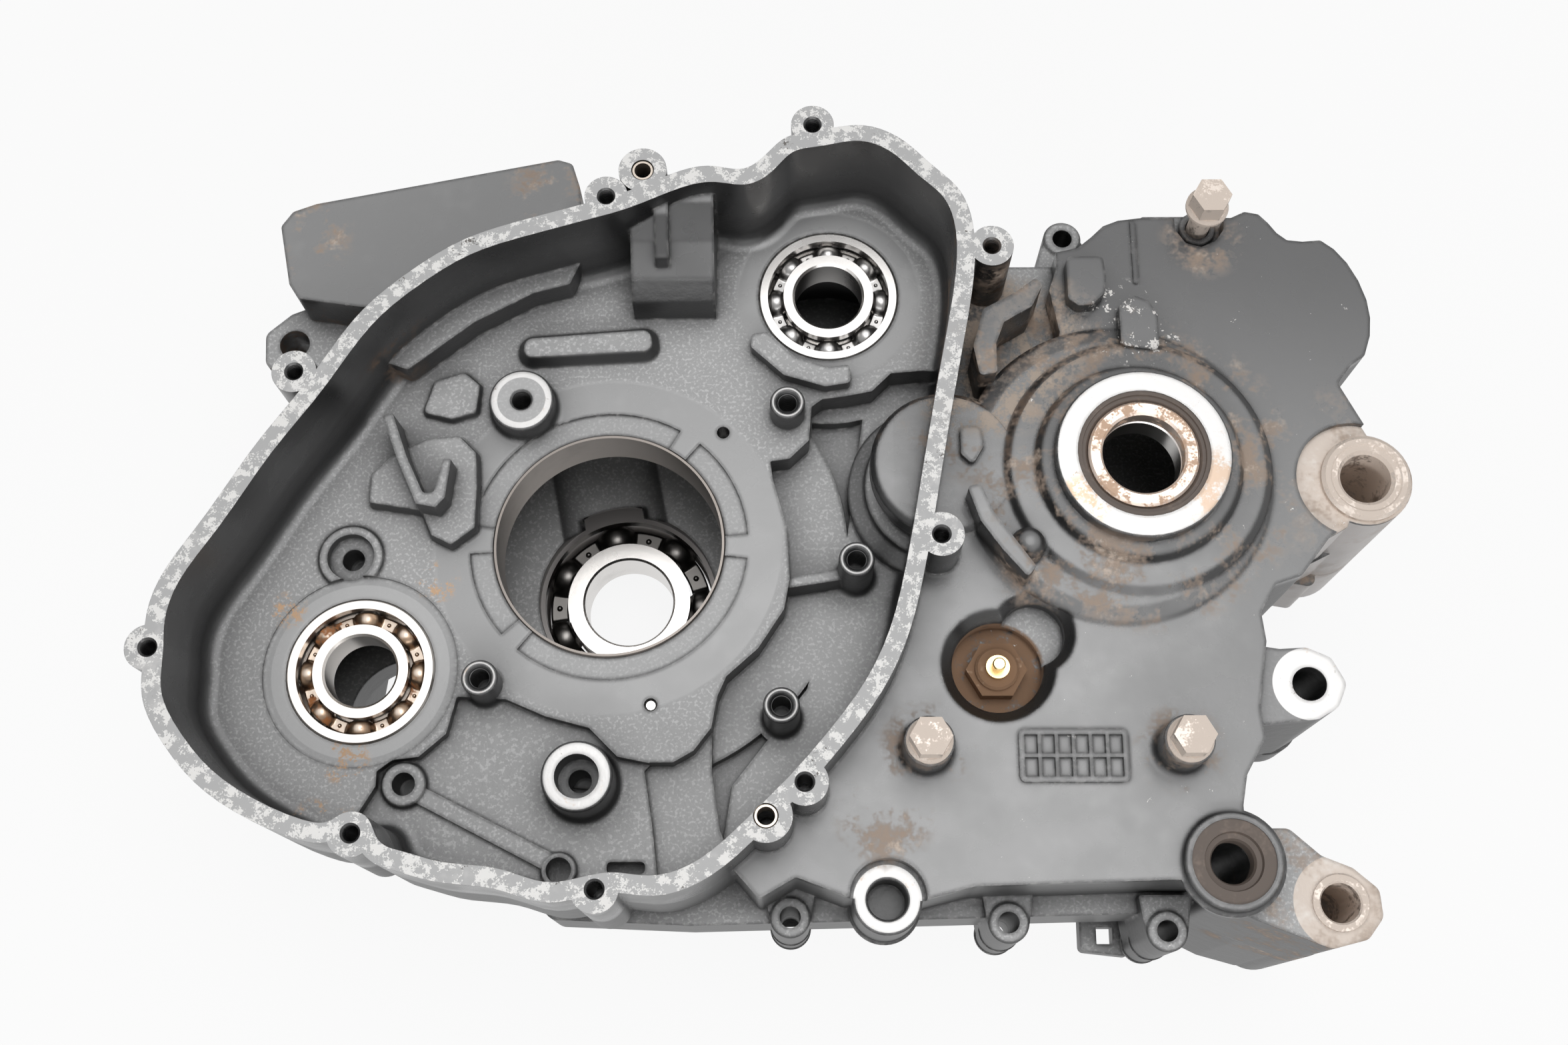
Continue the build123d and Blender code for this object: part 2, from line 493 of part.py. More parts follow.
# Holes and machined seats of the left casting
with BuildPart() as left_holes:
    for x, y in COVER_SCREWS:
        drill(x, y, M6_TAP_R, FLANGE_Z - 24, FLANGE_Z, 0.7)
    for x, y in COVER_DOWELS:
        drill(x, y, 3.2, FLANGE_Z - 30, FLANGE_Z)
        drill(x, y, COVER_DOWEL_R + PRESS_GAP, FLANGE_Z - 9, FLANGE_Z + 1)
    for x, y in SPLIT_DOWELS:
        drill(x, y, SPLIT_DOWEL_R + PRESS_GAP, SPLIT_Z - 1, SPLIT_Z + 8)
    # Crank bore with its liner, the machined ring round it and four lands left standing
    drill(*CRANK, LINER_OUTER_R, CHAMBER_TOP - 5, WEB_Z + 1)
    for start, sweep_angle in ((4, 46), (60, 112), (184, 38), (231, 123)):
        with BuildSketch(Plane.XY.offset(WEB_Z - 1)) as ring:
            with BuildLine():
                a = CenterArc((0, 0), 49.3, start, sweep_angle)
                b = CenterArc((0, 0), 40.5, start, sweep_angle)
                Line(a @ 0, b @ 0)
                Line(a @ 1, b @ 1)
            make_face()
        extrude(ring.sketch, amount=2)
    # Balancer bearings are fitted from the cover side and stop against a shoulder
    for place in (FRONT_BALANCER, REAR_BALANCER):
        drill(*place, BEARINGS["front_balancer"]["outer"], WEB_Z - 15, WEB_Z + 1)
        drill(*place, 21.5, -30, WEB_Z)
    turned(*FRONT_BALANCER, [(20, -0.5), (34, -0.5), (34, 2), (20, 2)])
    # Blind seat of the gearbox input bearing
    drill(*INPUT, 23.5, CHAMBER_TOP - 2, -5.5)
    # Output bearing seat, seal seat and shaft hole
    drill(*OUTPUT, BEARINGS["output"]["outer"], SPROCKET_Z - 10, BEARINGS["output"]["top"])
    drill(*OUTPUT, 20.0, 10, SEAL_FACE_Z)
    drill(*OUTPUT, SEAL_R, SEAL_FACE_Z - SEAL_DEPTH, SEAL_FACE_Z + 1)
    # Gear shift shaft
    drill(*SHIFT, SHIFT_HOLE_R, SPLIT_Z - 1, 26)
    drill(*SHIFT, SHIFT_SEAL_R, SHIFT_SEAL_Z, 26)
    # Neutral switch recess and its lobe
    drill(*DRUM, 15.5, 8, SPROCKET_Z, 4.2)
    drill(146, -38, 11, 12, SPROCKET_Z, 3.6)
    drill(*DRUM, 6.0, -14, 9)
    # Posts and bosses in the cavity
    for x, y in POSTS:
        drill(x, y, 3.3, -6, POST_TOP, 1.6)
    drill(-32, 51, 3.4, -10, 10, 0.8)
    drill(-7, -85, 7.5, 3, 15)
    drill(-7, -85, 4.0, -14, 15)
    drill(-91, -5, 8.3, -3.0, 3)
    drill(-91, -5, 4.0, -16, 3)
    drill(-68, -85, 4.0, -16, 0, 0.5)
    drill(-14, -114, 4.3, -16, 0)
    drill(40, 42, 2.3, -16, 1)
    drill(16, -58, 2.3, -14, 1)
    slab([(2, -111), (15, -111), (15, -115), (2, -115)], -12, 0, 1.5)
    # Bolts through the sprocket side
    for x, y in BOLTS:
        drill(x, y, BOLT_HOLE_R, SPLIT_Z - 1, BOLT_SEAT + 1)
    drill(*TOP_BOLT, BOLT_HOLE_R, SPLIT_Z - 1, BOLT_LEDGE_Z + 3)
    drill(95.8, -125.5, 6.5, 0, 14, 0.8)
    drill(95.8, -125.5, 12.6, 14, SPROCKET_Z + 1)
    # Spot face of the upper mount
    drill(259.8, 16.3, SPOT_FACE_R, UPPER_TOP, SPROCKET_Z + 1)
    # Lugs and mounts
    for x, y in ((64, -128.5), (138, -130.5), (191, -133.5), (166, 119)):
        drill(x, y, 3.6, SPLIT_Z - 1, 2)
    drill(*UPPER_MOUNT, UPPER_BUSH_R, SPLIT_Z - 1, UPPER_TOP + 1)
    drill(*MID_MOUNT, MID_HOLE_R, SPLIT_Z - 1, MID_TOP + 1)
    drill(*LOWER_MOUNT, LOWER_SLEEVE_R, SPLIT_Z - 1, LOWER_TOP + 1)
    drill(*FRONT_MOUNT, FRONT_MOUNT_HOLE_R, -30, FRONT_MOUNT_Z + 1)
    # Cells of the grid plate
    with Locations((157.5, -79.7, SPROCKET_Z - 0.6)):
        with GridLocations(5.6, 7.6, 6, 2):
            Box(4.4, 6.4, 3, align=(Align.CENTER, Align.CENTER, Align.MIN))

with BuildPart() as left_case:
    add(walls.part)
    add(cavity.part, mode=Mode.SUBTRACT)
    add(inside.part)
    add(outside.part)
    add(chambers.part, mode=Mode.SUBTRACT)
    add(cylinder_room.part, mode=Mode.SUBTRACT)
    add(left_holes.part, mode=Mode.SUBTRACT)
left_case.part.label = "left_crankcase"
export_step(left_case.part, "parts/left_crankcase.step")

# Right casting
with BuildPart() as right_walls:
    slab(RIGHT_CASE, SPLIT_Z, CLUTCH_Z, 6.0, taper=RIGHT_DRAFT)
    slab([on_deck(-64, 60), on_deck(60, 60), on_deck(60, DECK_H), on_deck(-64, DECK_H)], -94, SPLIT_Z, 4.0)
    for place, radius, low in ((UPPER_MOUNT, UPPER_TUBE_R, UPPER_LOW), (MID_MOUNT, MID_FACE_R, MID_LOW),
                               (LOWER_MOUNT, LOWER_TUBE_R, LOWER_LOW)):
        with Locations((*place, low)):
            Cylinder(radius, SPLIT_Z - low, align=(Align.CENTER, Align.CENTER, Align.MIN))
    slab([(205, -100), (240, -113), (240, -139), (222, -134), (202, -124)], LOWER_LOW, SPLIT_Z, 3.0)
    slab([(210, -44), (236, -43), (236, -67), (210, -68)], MID_LOW, SPLIT_Z, 3.0)
    slab([(240, 0), (262, -4), (262, 38), (240, 38)], UPPER_LOW, SPLIT_Z, 3.0)
    for x, y in ((64, -128.5), (138, -130.5), (191, -133.5), (166, 119)):
        post(x, y, SPLIT_Z - 14, SPLIT_Z, 7.0, 0.4, 0.1)
        inward = 14 if y < 0 else -14
        slab([(x - 9, y + inward), (x - 7, y), (x + 7, y), (x + 9, y + inward)], SPLIT_Z - 14, SPLIT_Z, 1.0)
    slab([(170, -122), (170, -136), (188, -138), (190, -122)], -74, -66, 2.0)

with BuildPart() as right_rooms:
    with BuildSketch(Plane.XY.offset(CHAMBER_LOW)):
        Circle(CHAMBER_R)
    extrude(amount=SPLIT_Z + 1 - CHAMBER_LOW)
    with BuildSketch(Plane.XY.offset(-84)):
        with Locations(FRONT_BALANCER, REAR_BALANCER):
            Circle(BALANCER_CHAMBER_R)
    extrude(amount=SPLIT_Z + 1 + 84)
    slab(GEARBOX, -90, SPLIT_Z + 1, 5.0)
    slab([(44, -90), (44, -116), (86, -116), (86, -86), (70, -84)], -90, SPLIT_Z + 1, 4.0)
    drill(*CRANK, 35.0, RIGHT_WEB_Z - 1, CHAMBER_LOW + 1)
    drill(*CRANK, BEARINGS["right_main"]["outer"], RIGHT_WEB_Z - 1, -79)
    # Clutch cavity, open to the right
    slab([(-92, -80), (-60, -92), (-10, -110), (90, -114), (176, -108), (196, -90), (204, -40),
          (206, 20), (190, 84), (150, 90), (104, 112), (70, 120), (30, 112), (-60, 92), (-100, 20),
          (-108, -46)], CLUTCH_Z - 1, RIGHT_WEB_Z, 8.0)
    # Bearing bores of the gearbox and of the balancers
    drill(*INPUT, 31.0, RIGHT_WEB_Z - 1, -84)
    drill(*OUTPUT, 23.5, -96, -88)
    drill(*DRUM, 15.0, RIGHT_WEB_Z - 1, -88)
    drill(*FRONT_BALANCER, 23.5, RIGHT_WEB_Z - 1, -82)
    drill(*REAR_BALANCER, 23.5, RIGHT_WEB_Z - 1, -82)
    drill(*SHIFT, SHIFT_HOLE_R, -92, SPLIT_Z + 1)
    for x, y in SPLIT_DOWELS:
        drill(x, y, SPLIT_DOWEL_R + PRESS_GAP, SPLIT_Z - 8, SPLIT_Z + 1)
    for x, y in BOLTS:
        drill(x, y, BOLT_R + 0.05, BOLT_SEAT - BOLT_LENGTH - 3, SPLIT_Z + 1)
    drill(*TOP_BOLT, BOLT_R + 0.05, TOP_BOLT_SEAT - TOP_BOLT_LENGTH - 3, SPLIT_Z + 1)
    for x, y in ((64, -128.5), (138, -130.5), (191, -133.5), (166, 119)):
        drill(x, y, 3.6, SPLIT_Z - 18, SPLIT_Z + 1)
    drill(*UPPER_MOUNT, UPPER_BUSH_R, UPPER_LOW - 1, SPLIT_Z + 1)
    drill(*MID_MOUNT, MID_HOLE_R, MID_LOW - 1, SPLIT_Z + 1)
    drill(*LOWER_MOUNT, LOWER_SLEEVE_R, LOWER_LOW - 1, SPLIT_Z + 1)
    with Locations((179, -130.5, -70)):
        Box(6, 6, 20)
    for x, y in ((-84, -84), (-106, 0), (-94, 74), (-20, 112), (40, 124), (120, 100), (196, 98),
                 (214, 0), (212, -60), (192, -108), (120, -119), (30, -118), (-30, -107)):
        drill(x, y, M6_TAP_R, CLUTCH_Z - 1, CLUTCH_Z + 18)

with BuildPart() as right_case:
    add(right_walls.part)
    add(right_rooms.part, mode=Mode.SUBTRACT)
    add(cylinder_room.part, mode=Mode.SUBTRACT)
right_case.part.label = "right_crankcase"
export_step(right_case.part, "parts/right_crankcase.step")

# Small parts
with BuildPart() as main_bore_liner:
    turned(*CRANK, [(LINER_BORE_R, CHAMBER_TOP), (LINER_OUTER_R - PRESS_GAP, CHAMBER_TOP),
                    (LINER_OUTER_R - PRESS_GAP, WEB_Z - 0.4), (LINER_OUTER_R - PRESS_GAP - 0.4, WEB_Z),
                    (LINER_BORE_R, WEB_Z)])
main_bore_liner.part.label = "main_bore_liner"
export_step(main_bore_liner.part, "parts/main_bore_liner.step")

lip = COLLAR_R + SEAL_LIP_GAP
with BuildPart() as output_seal:
    turned(*OUTPUT, [(lip + 0.6, SEAL_FACE_Z - SEAL_DEPTH), (SEAL_R - PRESS_GAP, SEAL_FACE_Z - SEAL_DEPTH),
                     (SEAL_R - PRESS_GAP, SEAL_FACE_Z - 0.4), (lip + 2.2, SEAL_FACE_Z - 0.4),
                     (lip + 2.0, SEAL_FACE_Z - 1.2), (lip + 0.9, SEAL_FACE_Z - 1.2),
                     (lip, SEAL_FACE_Z - 2.4), (lip, SEAL_FACE_Z - 4.0), (lip + 0.6, SEAL_FACE_Z - 5.0)])
output_seal.part.label = "output_seal"
export_step(output_seal.part, "parts/output_seal.step")

with BuildPart() as output_collar:
    turned(*OUTPUT, [(COLLAR_BORE_R + 0.8, BEARINGS["output"]["top"]), (17.0, BEARINGS["output"]["top"]),
                     (COLLAR_R, BEARINGS["output"]["top"] + 1.0), (COLLAR_R, SEAL_FACE_Z - 1.4),
                     (COLLAR_R - 0.8, SEAL_FACE_Z - 0.6), (COLLAR_BORE_R + 0.8, SEAL_FACE_Z - 0.6),
                     (COLLAR_BORE_R, SEAL_FACE_Z - 1.4), (COLLAR_BORE_R, BEARINGS["output"]["top"] + 0.8)])
output_collar.part.label = "output_collar"
export_step(output_collar.part, "parts/output_collar.step")

# The seal's lip reaches down into the shaft hole, clear of its wall
with BuildPart() as shift_shaft_seal:
    turned(*SHIFT, [(SHIFT_SHAFT_R, SHIFT_SEAL_Z - 2), (SHIFT_SHAFT_R + 0.6, SHIFT_SEAL_Z - 2.6),
                    (SHIFT_HOLE_R - 0.3, SHIFT_SEAL_Z - 2), (SHIFT_HOLE_R - 0.3, SHIFT_SEAL_Z),
                    (SHIFT_SEAL_R - PRESS_GAP, SHIFT_SEAL_Z), (SHIFT_SEAL_R - PRESS_GAP, SHIFT_SEAL_Z + 6.5),
                    (SHIFT_SHAFT_R + 2.6, SHIFT_SEAL_Z + 6.5), (SHIFT_SHAFT_R + 2.2, SHIFT_SEAL_Z + 5.1),
                    (SHIFT_SHAFT_R + 0.6, SHIFT_SEAL_Z + 4.7), (SHIFT_SHAFT_R, SHIFT_SEAL_Z + 3.5)])
shift_shaft_seal.part.label = "shift_shaft_seal"
export_step(shift_shaft_seal.part, "parts/shift_shaft_seal.step")

SWITCH_HEX = 18.0
with BuildPart() as switch_socket:
    drill(*DRUM, 2.4 + PRESS_GAP, 11.0, 17.0)
with BuildPart() as neutral_switch_body:
    drill(*DRUM, 6.0 - PRESS_GAP, -10, 8.0)
    with BuildSketch(Plane.XY.offset(8.0)) as hexagon:
        with Locations(DRUM):
            RegularPolygon(SWITCH_HEX / 2, 6, major_radius=False)
    extrude(hexagon.sketch, amount=6.0)
    turned(*DRUM, [(0, 14.0), (7.4, 14.0), (7.4, 15.4), (6.6, 16.2), (0, 16.2)])
    add(switch_socket.part, mode=Mode.SUBTRACT)
neutral_switch_body.part.label = "neutral_switch_body"
export_step(neutral_switch_body.part, "parts/neutral_switch_body.step")

with BuildPart() as neutral_switch_terminal:
    turned(*DRUM, [(0, 11.0), (2.4, 11.0), (2.4, 16.2), (4.0, 16.2), (4.0, 18.2), (2.2, 18.2), (2.2, 22.4),
                   (1.8, 22.8), (0, 22.8)])
neutral_switch_terminal.part.label = "neutral_switch_terminal"
export_step(neutral_switch_terminal.part, "parts/neutral_switch_terminal.step")

with BuildPart() as upper_mount_bush:
    turned(*UPPER_MOUNT, [(UPPER_HOLE_R, UPPER_LOW), (UPPER_BUSH_R - PRESS_GAP, UPPER_LOW),
                          (UPPER_BUSH_R - PRESS_GAP, UPPER_TOP), (15.4, UPPER_TOP), (15.4, UPPER_TOP + 1.6),
                          (14.2, UPPER_TOP + 2.6), (12.4, UPPER_TOP + 2.6), (11.9, UPPER_TOP + 2.2),
                          (UPPER_HOLE_R + 1.2, UPPER_TOP + 2.2), (UPPER_HOLE_R, UPPER_TOP + 1.0)])
upper_mount_bush.part.label = "upper_mount_bush"
export_step(upper_mount_bush.part, "parts/upper_mount_bush.step")

with BuildPart() as lower_mount_sleeve:
    turned(*LOWER_MOUNT, [(LOWER_HOLE_R, LOWER_LOW), (LOWER_SLEEVE_R - PRESS_GAP, LOWER_LOW),
                          (LOWER_SLEEVE_R - PRESS_GAP, LOWER_TOP + 0.4), (LOWER_HOLE_R + 0.6, LOWER_TOP + 0.4),
                          (LOWER_HOLE_R, LOWER_TOP - 0.2)])
lower_mount_sleeve.part.label = "lower_mount_sleeve"
export_step(lower_mount_sleeve.part, "parts/lower_mount_sleeve.step")


def flange_bolt(x, y, seat, length, head):
    """A hexagon bolt with a washer face, its head standing on the seat."""
    turned(x, y, [(0, seat - length), (BOLT_R - 0.8, seat - length), (BOLT_R, seat - length + 0.8),
                  (BOLT_R, seat), (HEAD_FLANGE_R, seat), (HEAD_FLANGE_R, seat + 1.2),
                  (HEAD_FLANGE_R - 1.0, seat + 2.2), (0, seat + 2.6)])
    with BuildSketch(Plane.XY.offset(seat + 1.0)) as hexagon:
        with Locations((x, y)):
            RegularPolygon(HEAD_HEX / 2, 6, major_radius=False)
    extrude(hexagon.sketch, amount=head - 1.0)


with BuildPart() as case_bolts:
    for x, y in BOLTS:
        flange_bolt(x, y, BOLT_SEAT, BOLT_LENGTH, 9.0)
case_bolts.part.label = "case_bolts"
export_step(case_bolts.part, "parts/case_bolts.step")

with BuildPart() as long_case_bolt:
    flange_bolt(*TOP_BOLT, TOP_BOLT_SEAT, TOP_BOLT_LENGTH, 10.0)
long_case_bolt.part.label = "long_case_bolt"
export_step(long_case_bolt.part, "parts/long_case_bolt.step")

with BuildPart() as cover_dowels:
    for x, y in COVER_DOWELS:
        turned(x, y, [(2.9, FLANGE_Z - 9), (COVER_DOWEL_R, FLANGE_Z - 9), (COVER_DOWEL_R, FLANGE_Z - 0.8),
                      (3.6, FLANGE_Z - 0.4), (2.9, FLANGE_Z - 0.4)])
cover_dowels.part.label = "cover_dowels"
export_step(cover_dowels.part, "parts/cover_dowels.step")

with BuildPart() as split_dowels:
    for x, y in SPLIT_DOWELS:
        turned(x, y, [(4.6, SPLIT_Z - 8), (SPLIT_DOWEL_R, SPLIT_Z - 8), (SPLIT_DOWEL_R, SPLIT_Z + 8),
                      (4.6, SPLIT_Z + 8)])
split_dowels.part.label = "split_dowels"
export_step(split_dowels.part, "parts/split_dowels.step")

with BuildPart() as gallery_plugs:
    turned(40, 42, [(0, -16), (2.28, -16), (2.28, -13.5), (1.6, -12.8), (0, -12.8)])
    turned(16, -58, [(0, -14), (2.28, -14), (2.28, -2), (1.6, -1.3), (0, -1.3)])
gallery_plugs.part.label = "gallery_plugs"
export_step(gallery_plugs.part, "parts/gallery_plugs.step")
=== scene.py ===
# %% [markdown]
# # A used engine crankcase on a white table
# The two castings, bearings, seals and bolts come from the CAD model. This script
# gives them their paint, machined faces, dirt and rust, and sets the camera and light.

# %% Load the model
import math
import random

import bmesh
import bpy
from mathutils import Matrix, Vector


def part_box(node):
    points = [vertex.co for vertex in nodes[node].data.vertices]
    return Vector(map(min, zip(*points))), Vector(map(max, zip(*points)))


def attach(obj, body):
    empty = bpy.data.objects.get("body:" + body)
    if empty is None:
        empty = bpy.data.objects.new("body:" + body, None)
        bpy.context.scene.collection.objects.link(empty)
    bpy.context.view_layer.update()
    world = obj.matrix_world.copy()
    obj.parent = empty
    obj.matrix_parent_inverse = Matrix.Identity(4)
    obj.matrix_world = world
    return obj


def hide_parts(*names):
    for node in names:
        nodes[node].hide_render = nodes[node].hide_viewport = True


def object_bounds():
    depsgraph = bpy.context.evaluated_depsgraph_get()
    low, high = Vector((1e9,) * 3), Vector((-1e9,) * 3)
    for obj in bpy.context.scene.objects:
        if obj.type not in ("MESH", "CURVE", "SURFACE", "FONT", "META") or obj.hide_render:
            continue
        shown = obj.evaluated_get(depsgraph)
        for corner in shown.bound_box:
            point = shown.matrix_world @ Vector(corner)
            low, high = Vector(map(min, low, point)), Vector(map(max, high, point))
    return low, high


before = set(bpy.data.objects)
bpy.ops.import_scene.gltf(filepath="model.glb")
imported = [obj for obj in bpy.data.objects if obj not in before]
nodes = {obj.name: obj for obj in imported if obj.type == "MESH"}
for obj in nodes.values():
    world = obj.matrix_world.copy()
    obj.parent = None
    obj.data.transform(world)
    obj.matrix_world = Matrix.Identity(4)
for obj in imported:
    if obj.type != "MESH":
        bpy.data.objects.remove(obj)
cad_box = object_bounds()
random.seed(7)
bpy.context.scene.view_settings.view_transform = "Standard"
print("pieces:", len(nodes))

# %% [markdown]
# The camera stands 0.6 m above the web of the case and a little below its lower edge,
# tipped up by 17.7 degrees, so the walls lean away from a point under the picture.
# A camera is easiest to aim with the three directions it needs: right, up and back.

# %% Camera
PHOTO_WIDTH = 2352
SENSOR_MM = 36.0
FOCAL_PX = 2679.2
TILT = math.radians(17.697)
PAN = math.radians(-0.4125)
CAMERA_AT = Vector((0.06634, -0.18522, 0.60499))

look = Vector((math.sin(PAN) * math.cos(TILT), math.sin(TILT), -math.cos(TILT) * math.cos(PAN)))
look.normalize()
right = look.cross(Vector((0, 1, 0))).normalized()
up = right.cross(look)
camera_data = bpy.data.cameras.new("case_camera")
camera_data.sensor_width = SENSOR_MM
camera_data.lens = FOCAL_PX / PHOTO_WIDTH * SENSOR_MM
camera_data.clip_start = 0.01
camera = bpy.data.objects.new("case_camera", camera_data)
axes = Matrix((right, up, -look)).transposed().to_4x4()
camera.matrix_world = Matrix.Translation(CAMERA_AT) @ axes
bpy.context.scene.collection.objects.link(camera)
bpy.context.scene.camera = camera
print("lens", round(camera_data.lens, 2), "mm")

# %% [markdown]
# Every surface is built from a few small node groups. Short helpers make the nodes,
# so that each cell below reads as a list of what is mixed.

# %% Helpers for shader nodes
def feed(tree, socket, value):
    """Links the socket to another one, or sets it to a number, a direction or a colour."""
    if isinstance(value, bpy.types.NodeSocket):
        tree.links.new(value, socket)
    else:
        socket.default_value = value


def put(tree, kind, **inputs):
    """A node with its inputs set by name, or by place as i0, i1 and so on."""
    node = tree.nodes.new(kind)
    for name, value in inputs.items():
        by_place = name[0] == "i" and name[1:].isdigit()
        feed(tree, node.inputs[int(name[1:]) if by_place else name.replace("_", " ")], value)
    return node


def maths(tree, operation, a, b=0.0, clamp=False):
    node = tree.nodes.new("ShaderNodeMath")
    node.operation = operation
    node.use_clamp = clamp
    for socket, value in zip(node.inputs, (a, b)):
        feed(tree, socket, value)
    return node.outputs[0]


def ramp(tree, value, low, high, out_low=0.0, out_high=1.0):
    """The value stretched between two limits, with soft ends."""
    node = tree.nodes.new("ShaderNodeMapRange")
    node.interpolation_type = "SMOOTHSTEP"
    for socket, number in zip(node.inputs, (value, low, high, out_low, out_high)):
        feed(tree, socket, number)
    return node.outputs[0]


def blend_colour(tree, mask, under, over):
    node = tree.nodes.new("ShaderNodeMix")
    node.data_type = "RGBA"
    feed(tree, node.inputs[0], mask)
    for socket, value in ((node.inputs[6], under), (node.inputs[7], over)):
        feed(tree, socket, (*value, 1.0) if isinstance(value, tuple) else value)
    return node.outputs[2]


def blend_value(tree, mask, under, over):
    node = tree.nodes.new("ShaderNodeMix")
    for place, value in ((0, mask), (2, under), (3, over)):
        feed(tree, node.inputs[place], value)
    return node.outputs[0]


def new_group(name, inputs, outputs):
    """An empty node group with its sockets; returns the group and its two ends."""
    group = bpy.data.node_groups.new(name, "ShaderNodeTree")
    for label, kind, value in inputs:
        socket = group.interface.new_socket(label, in_out="INPUT", socket_type=kind)
        socket.default_value = value
    for label, kind in outputs:
        group.interface.new_socket(label, in_out="OUTPUT", socket_type=kind)
    return group, group.nodes.new("NodeGroupInput"), group.nodes.new("NodeGroupOutput")


def use_group(tree, group, **inputs):
    node = tree.nodes.new("ShaderNodeGroup")
    node.node_tree = group
    for name, value in inputs.items():
        feed(tree, node.inputs[name], value)
    return node.outputs


FLOAT, VECTOR = "NodeSocketFloat", "NodeSocketVector"
print("helpers ready")

# %% [markdown]
# Wear and dirt on the real case come in patches: large clouds with ragged borders.
# Noise cut at a threshold gives such patches, and a second finer noise frays the border.

# %% Patches
patches, p_in, p_out = new_group(
    "Patches",
    [("Scale", FLOAT, 30.0), ("Cover", FLOAT, 0.5), ("Softness", FLOAT, 0.05),
     ("Shift", VECTOR, (0, 0, 0))],
    [("Mask", FLOAT)])
here = put(patches, "ShaderNodeTexCoord").outputs["Object"]
moved = put(patches, "ShaderNodeVectorMath", i0=here, i1=p_in.outputs["Shift"]).outputs[0]
cloud_scale = p_in.outputs["Scale"]
fray_scale = maths(patches, "MULTIPLY", cloud_scale, 9.0)
cloud = put(patches, "ShaderNodeTexNoise", Vector=moved, Scale=cloud_scale, Detail=4.0, Roughness=0.68)
fray = put(patches, "ShaderNodeTexNoise", Vector=moved, Scale=fray_scale, Detail=1.0)
mixed = maths(patches, "ADD", maths(patches, "MULTIPLY", cloud.outputs[0], 0.8),
              maths(patches, "MULTIPLY", fray.outputs[0], 0.2))
level = maths(patches, "SUBTRACT", 1.0, p_in.outputs["Cover"])
low = ramp(patches, level, 0.0, 1.0, 0.30, 0.70)
high = maths(patches, "ADD", low, p_in.outputs["Softness"])
patches.links.new(ramp(patches, mixed, low, high), p_out.inputs["Mask"])
print("group", patches.name)

# %% [markdown]
# Machined rings, spot faces and dirt round a boss all lie within some distance of an
# axis. This group measures that distance and the height, and gives a soft-edged mask.

# %% Round places
round_place, r_in, r_out = new_group(
    "Round place",
    [("Centre", VECTOR, (0, 0, 0)), ("Inner", FLOAT, 0.0), ("Outer", FLOAT, 0.01),
     ("Low", FLOAT, -1.0), ("High", FLOAT, 1.0), ("Soft", FLOAT, 0.0002)],
    [("Mask", FLOAT), ("Distance", FLOAT)])
here = put(round_place, "ShaderNodeTexCoord").outputs["Object"]
apart = put(round_place, "ShaderNodeVectorMath", i0=here, i1=r_in.outputs["Centre"])
apart.operation = "SUBTRACT"
parts = put(round_place, "ShaderNodeSeparateXYZ", Vector=apart.outputs[0]).outputs
squares = [maths(round_place, "MULTIPLY", parts[i], parts[i]) for i in (0, 1)]
distance = maths(round_place, "SQRT", maths(round_place, "ADD", *squares))
height = put(round_place, "ShaderNodeSeparateXYZ", Vector=here).outputs[2]
soft = r_in.outputs["Soft"]


def inside(value, limit, sign):
    """One where the value is on the wanted side of the limit."""
    ends = (value, limit) if sign > 0 else (limit, value)
    gap = maths(round_place, "SUBTRACT", *ends)
    return ramp(round_place, maths(round_place, "DIVIDE", gap, soft), -0.5, 0.5)


mask = inside(distance, r_in.outputs["Inner"], 1)
for value, limit, sign in ((distance, "Outer", -1), (height, "Low", 1), (height, "High", -1)):
    mask = maths(round_place, "MULTIPLY", mask, inside(value, r_in.outputs[limit], sign))
round_place.links.new(mask, r_out.inputs["Mask"])
round_place.links.new(distance, r_out.inputs["Distance"])
print("group", round_place.name)

# %% [markdown]
# Sharp edges of the casting rub bare first, and the same mask paints a highlight along them.
# The Bevel node rounds the normal near an edge; where it differs from the true normal, there
# is an edge. The rounded normal is handed on too, because a cast edge is never as sharp as a drawn one.

# %% Edge wear and painted highlight
edge_wear_and_highlight, e_in, e_out = new_group(
    "Edge wear and highlight", [("Width", FLOAT, 0.0015), ("Amount", FLOAT, 1.0)],
    [("Mask", FLOAT), ("Soft normal", VECTOR)])
rounded = edge_wear_and_highlight.nodes.new("ShaderNodeBevel")
rounded.samples = 3
edge_wear_and_highlight.links.new(e_in.outputs["Width"], rounded.inputs["Radius"])
true_normal = put(edge_wear_and_highlight, "ShaderNodeNewGeometry").outputs["Normal"]
turn = put(edge_wear_and_highlight, "ShaderNodeVectorMath", i0=rounded.outputs[0], i1=true_normal)
turn.operation = "DOT_PRODUCT"
edge = ramp(edge_wear_and_highlight, maths(edge_wear_and_highlight, "SUBTRACT", 1.0, turn.outputs["Value"]), 0.10, 0.30)
here = put(edge_wear_and_highlight, "ShaderNodeTexCoord").outputs["Object"]
edge_breakup = put(edge_wear_and_highlight, "ShaderNodeTexNoise", Vector=here, Scale=260.0, Detail=3.0)
worn_and_highlit = maths(edge_wear_and_highlight, "MULTIPLY", edge, ramp(edge_wear_and_highlight, edge_breakup.outputs[0], 0.46, 0.66))
worn_and_highlit = maths(edge_wear_and_highlight, "MULTIPLY", worn_and_highlit, e_in.outputs["Amount"], clamp=True)
edge_wear_and_highlight.links.new(worn_and_highlit, e_out.inputs["Mask"])
edge_wear_and_highlight.links.new(rounded.outputs[0], e_out.inputs["Soft normal"])
print("group", edge_wear_and_highlight.name)

# %% [markdown]
# The paint lies over a sand-cast skin. Two sizes of noise give its orange-peel height,
# which is only used for bump.

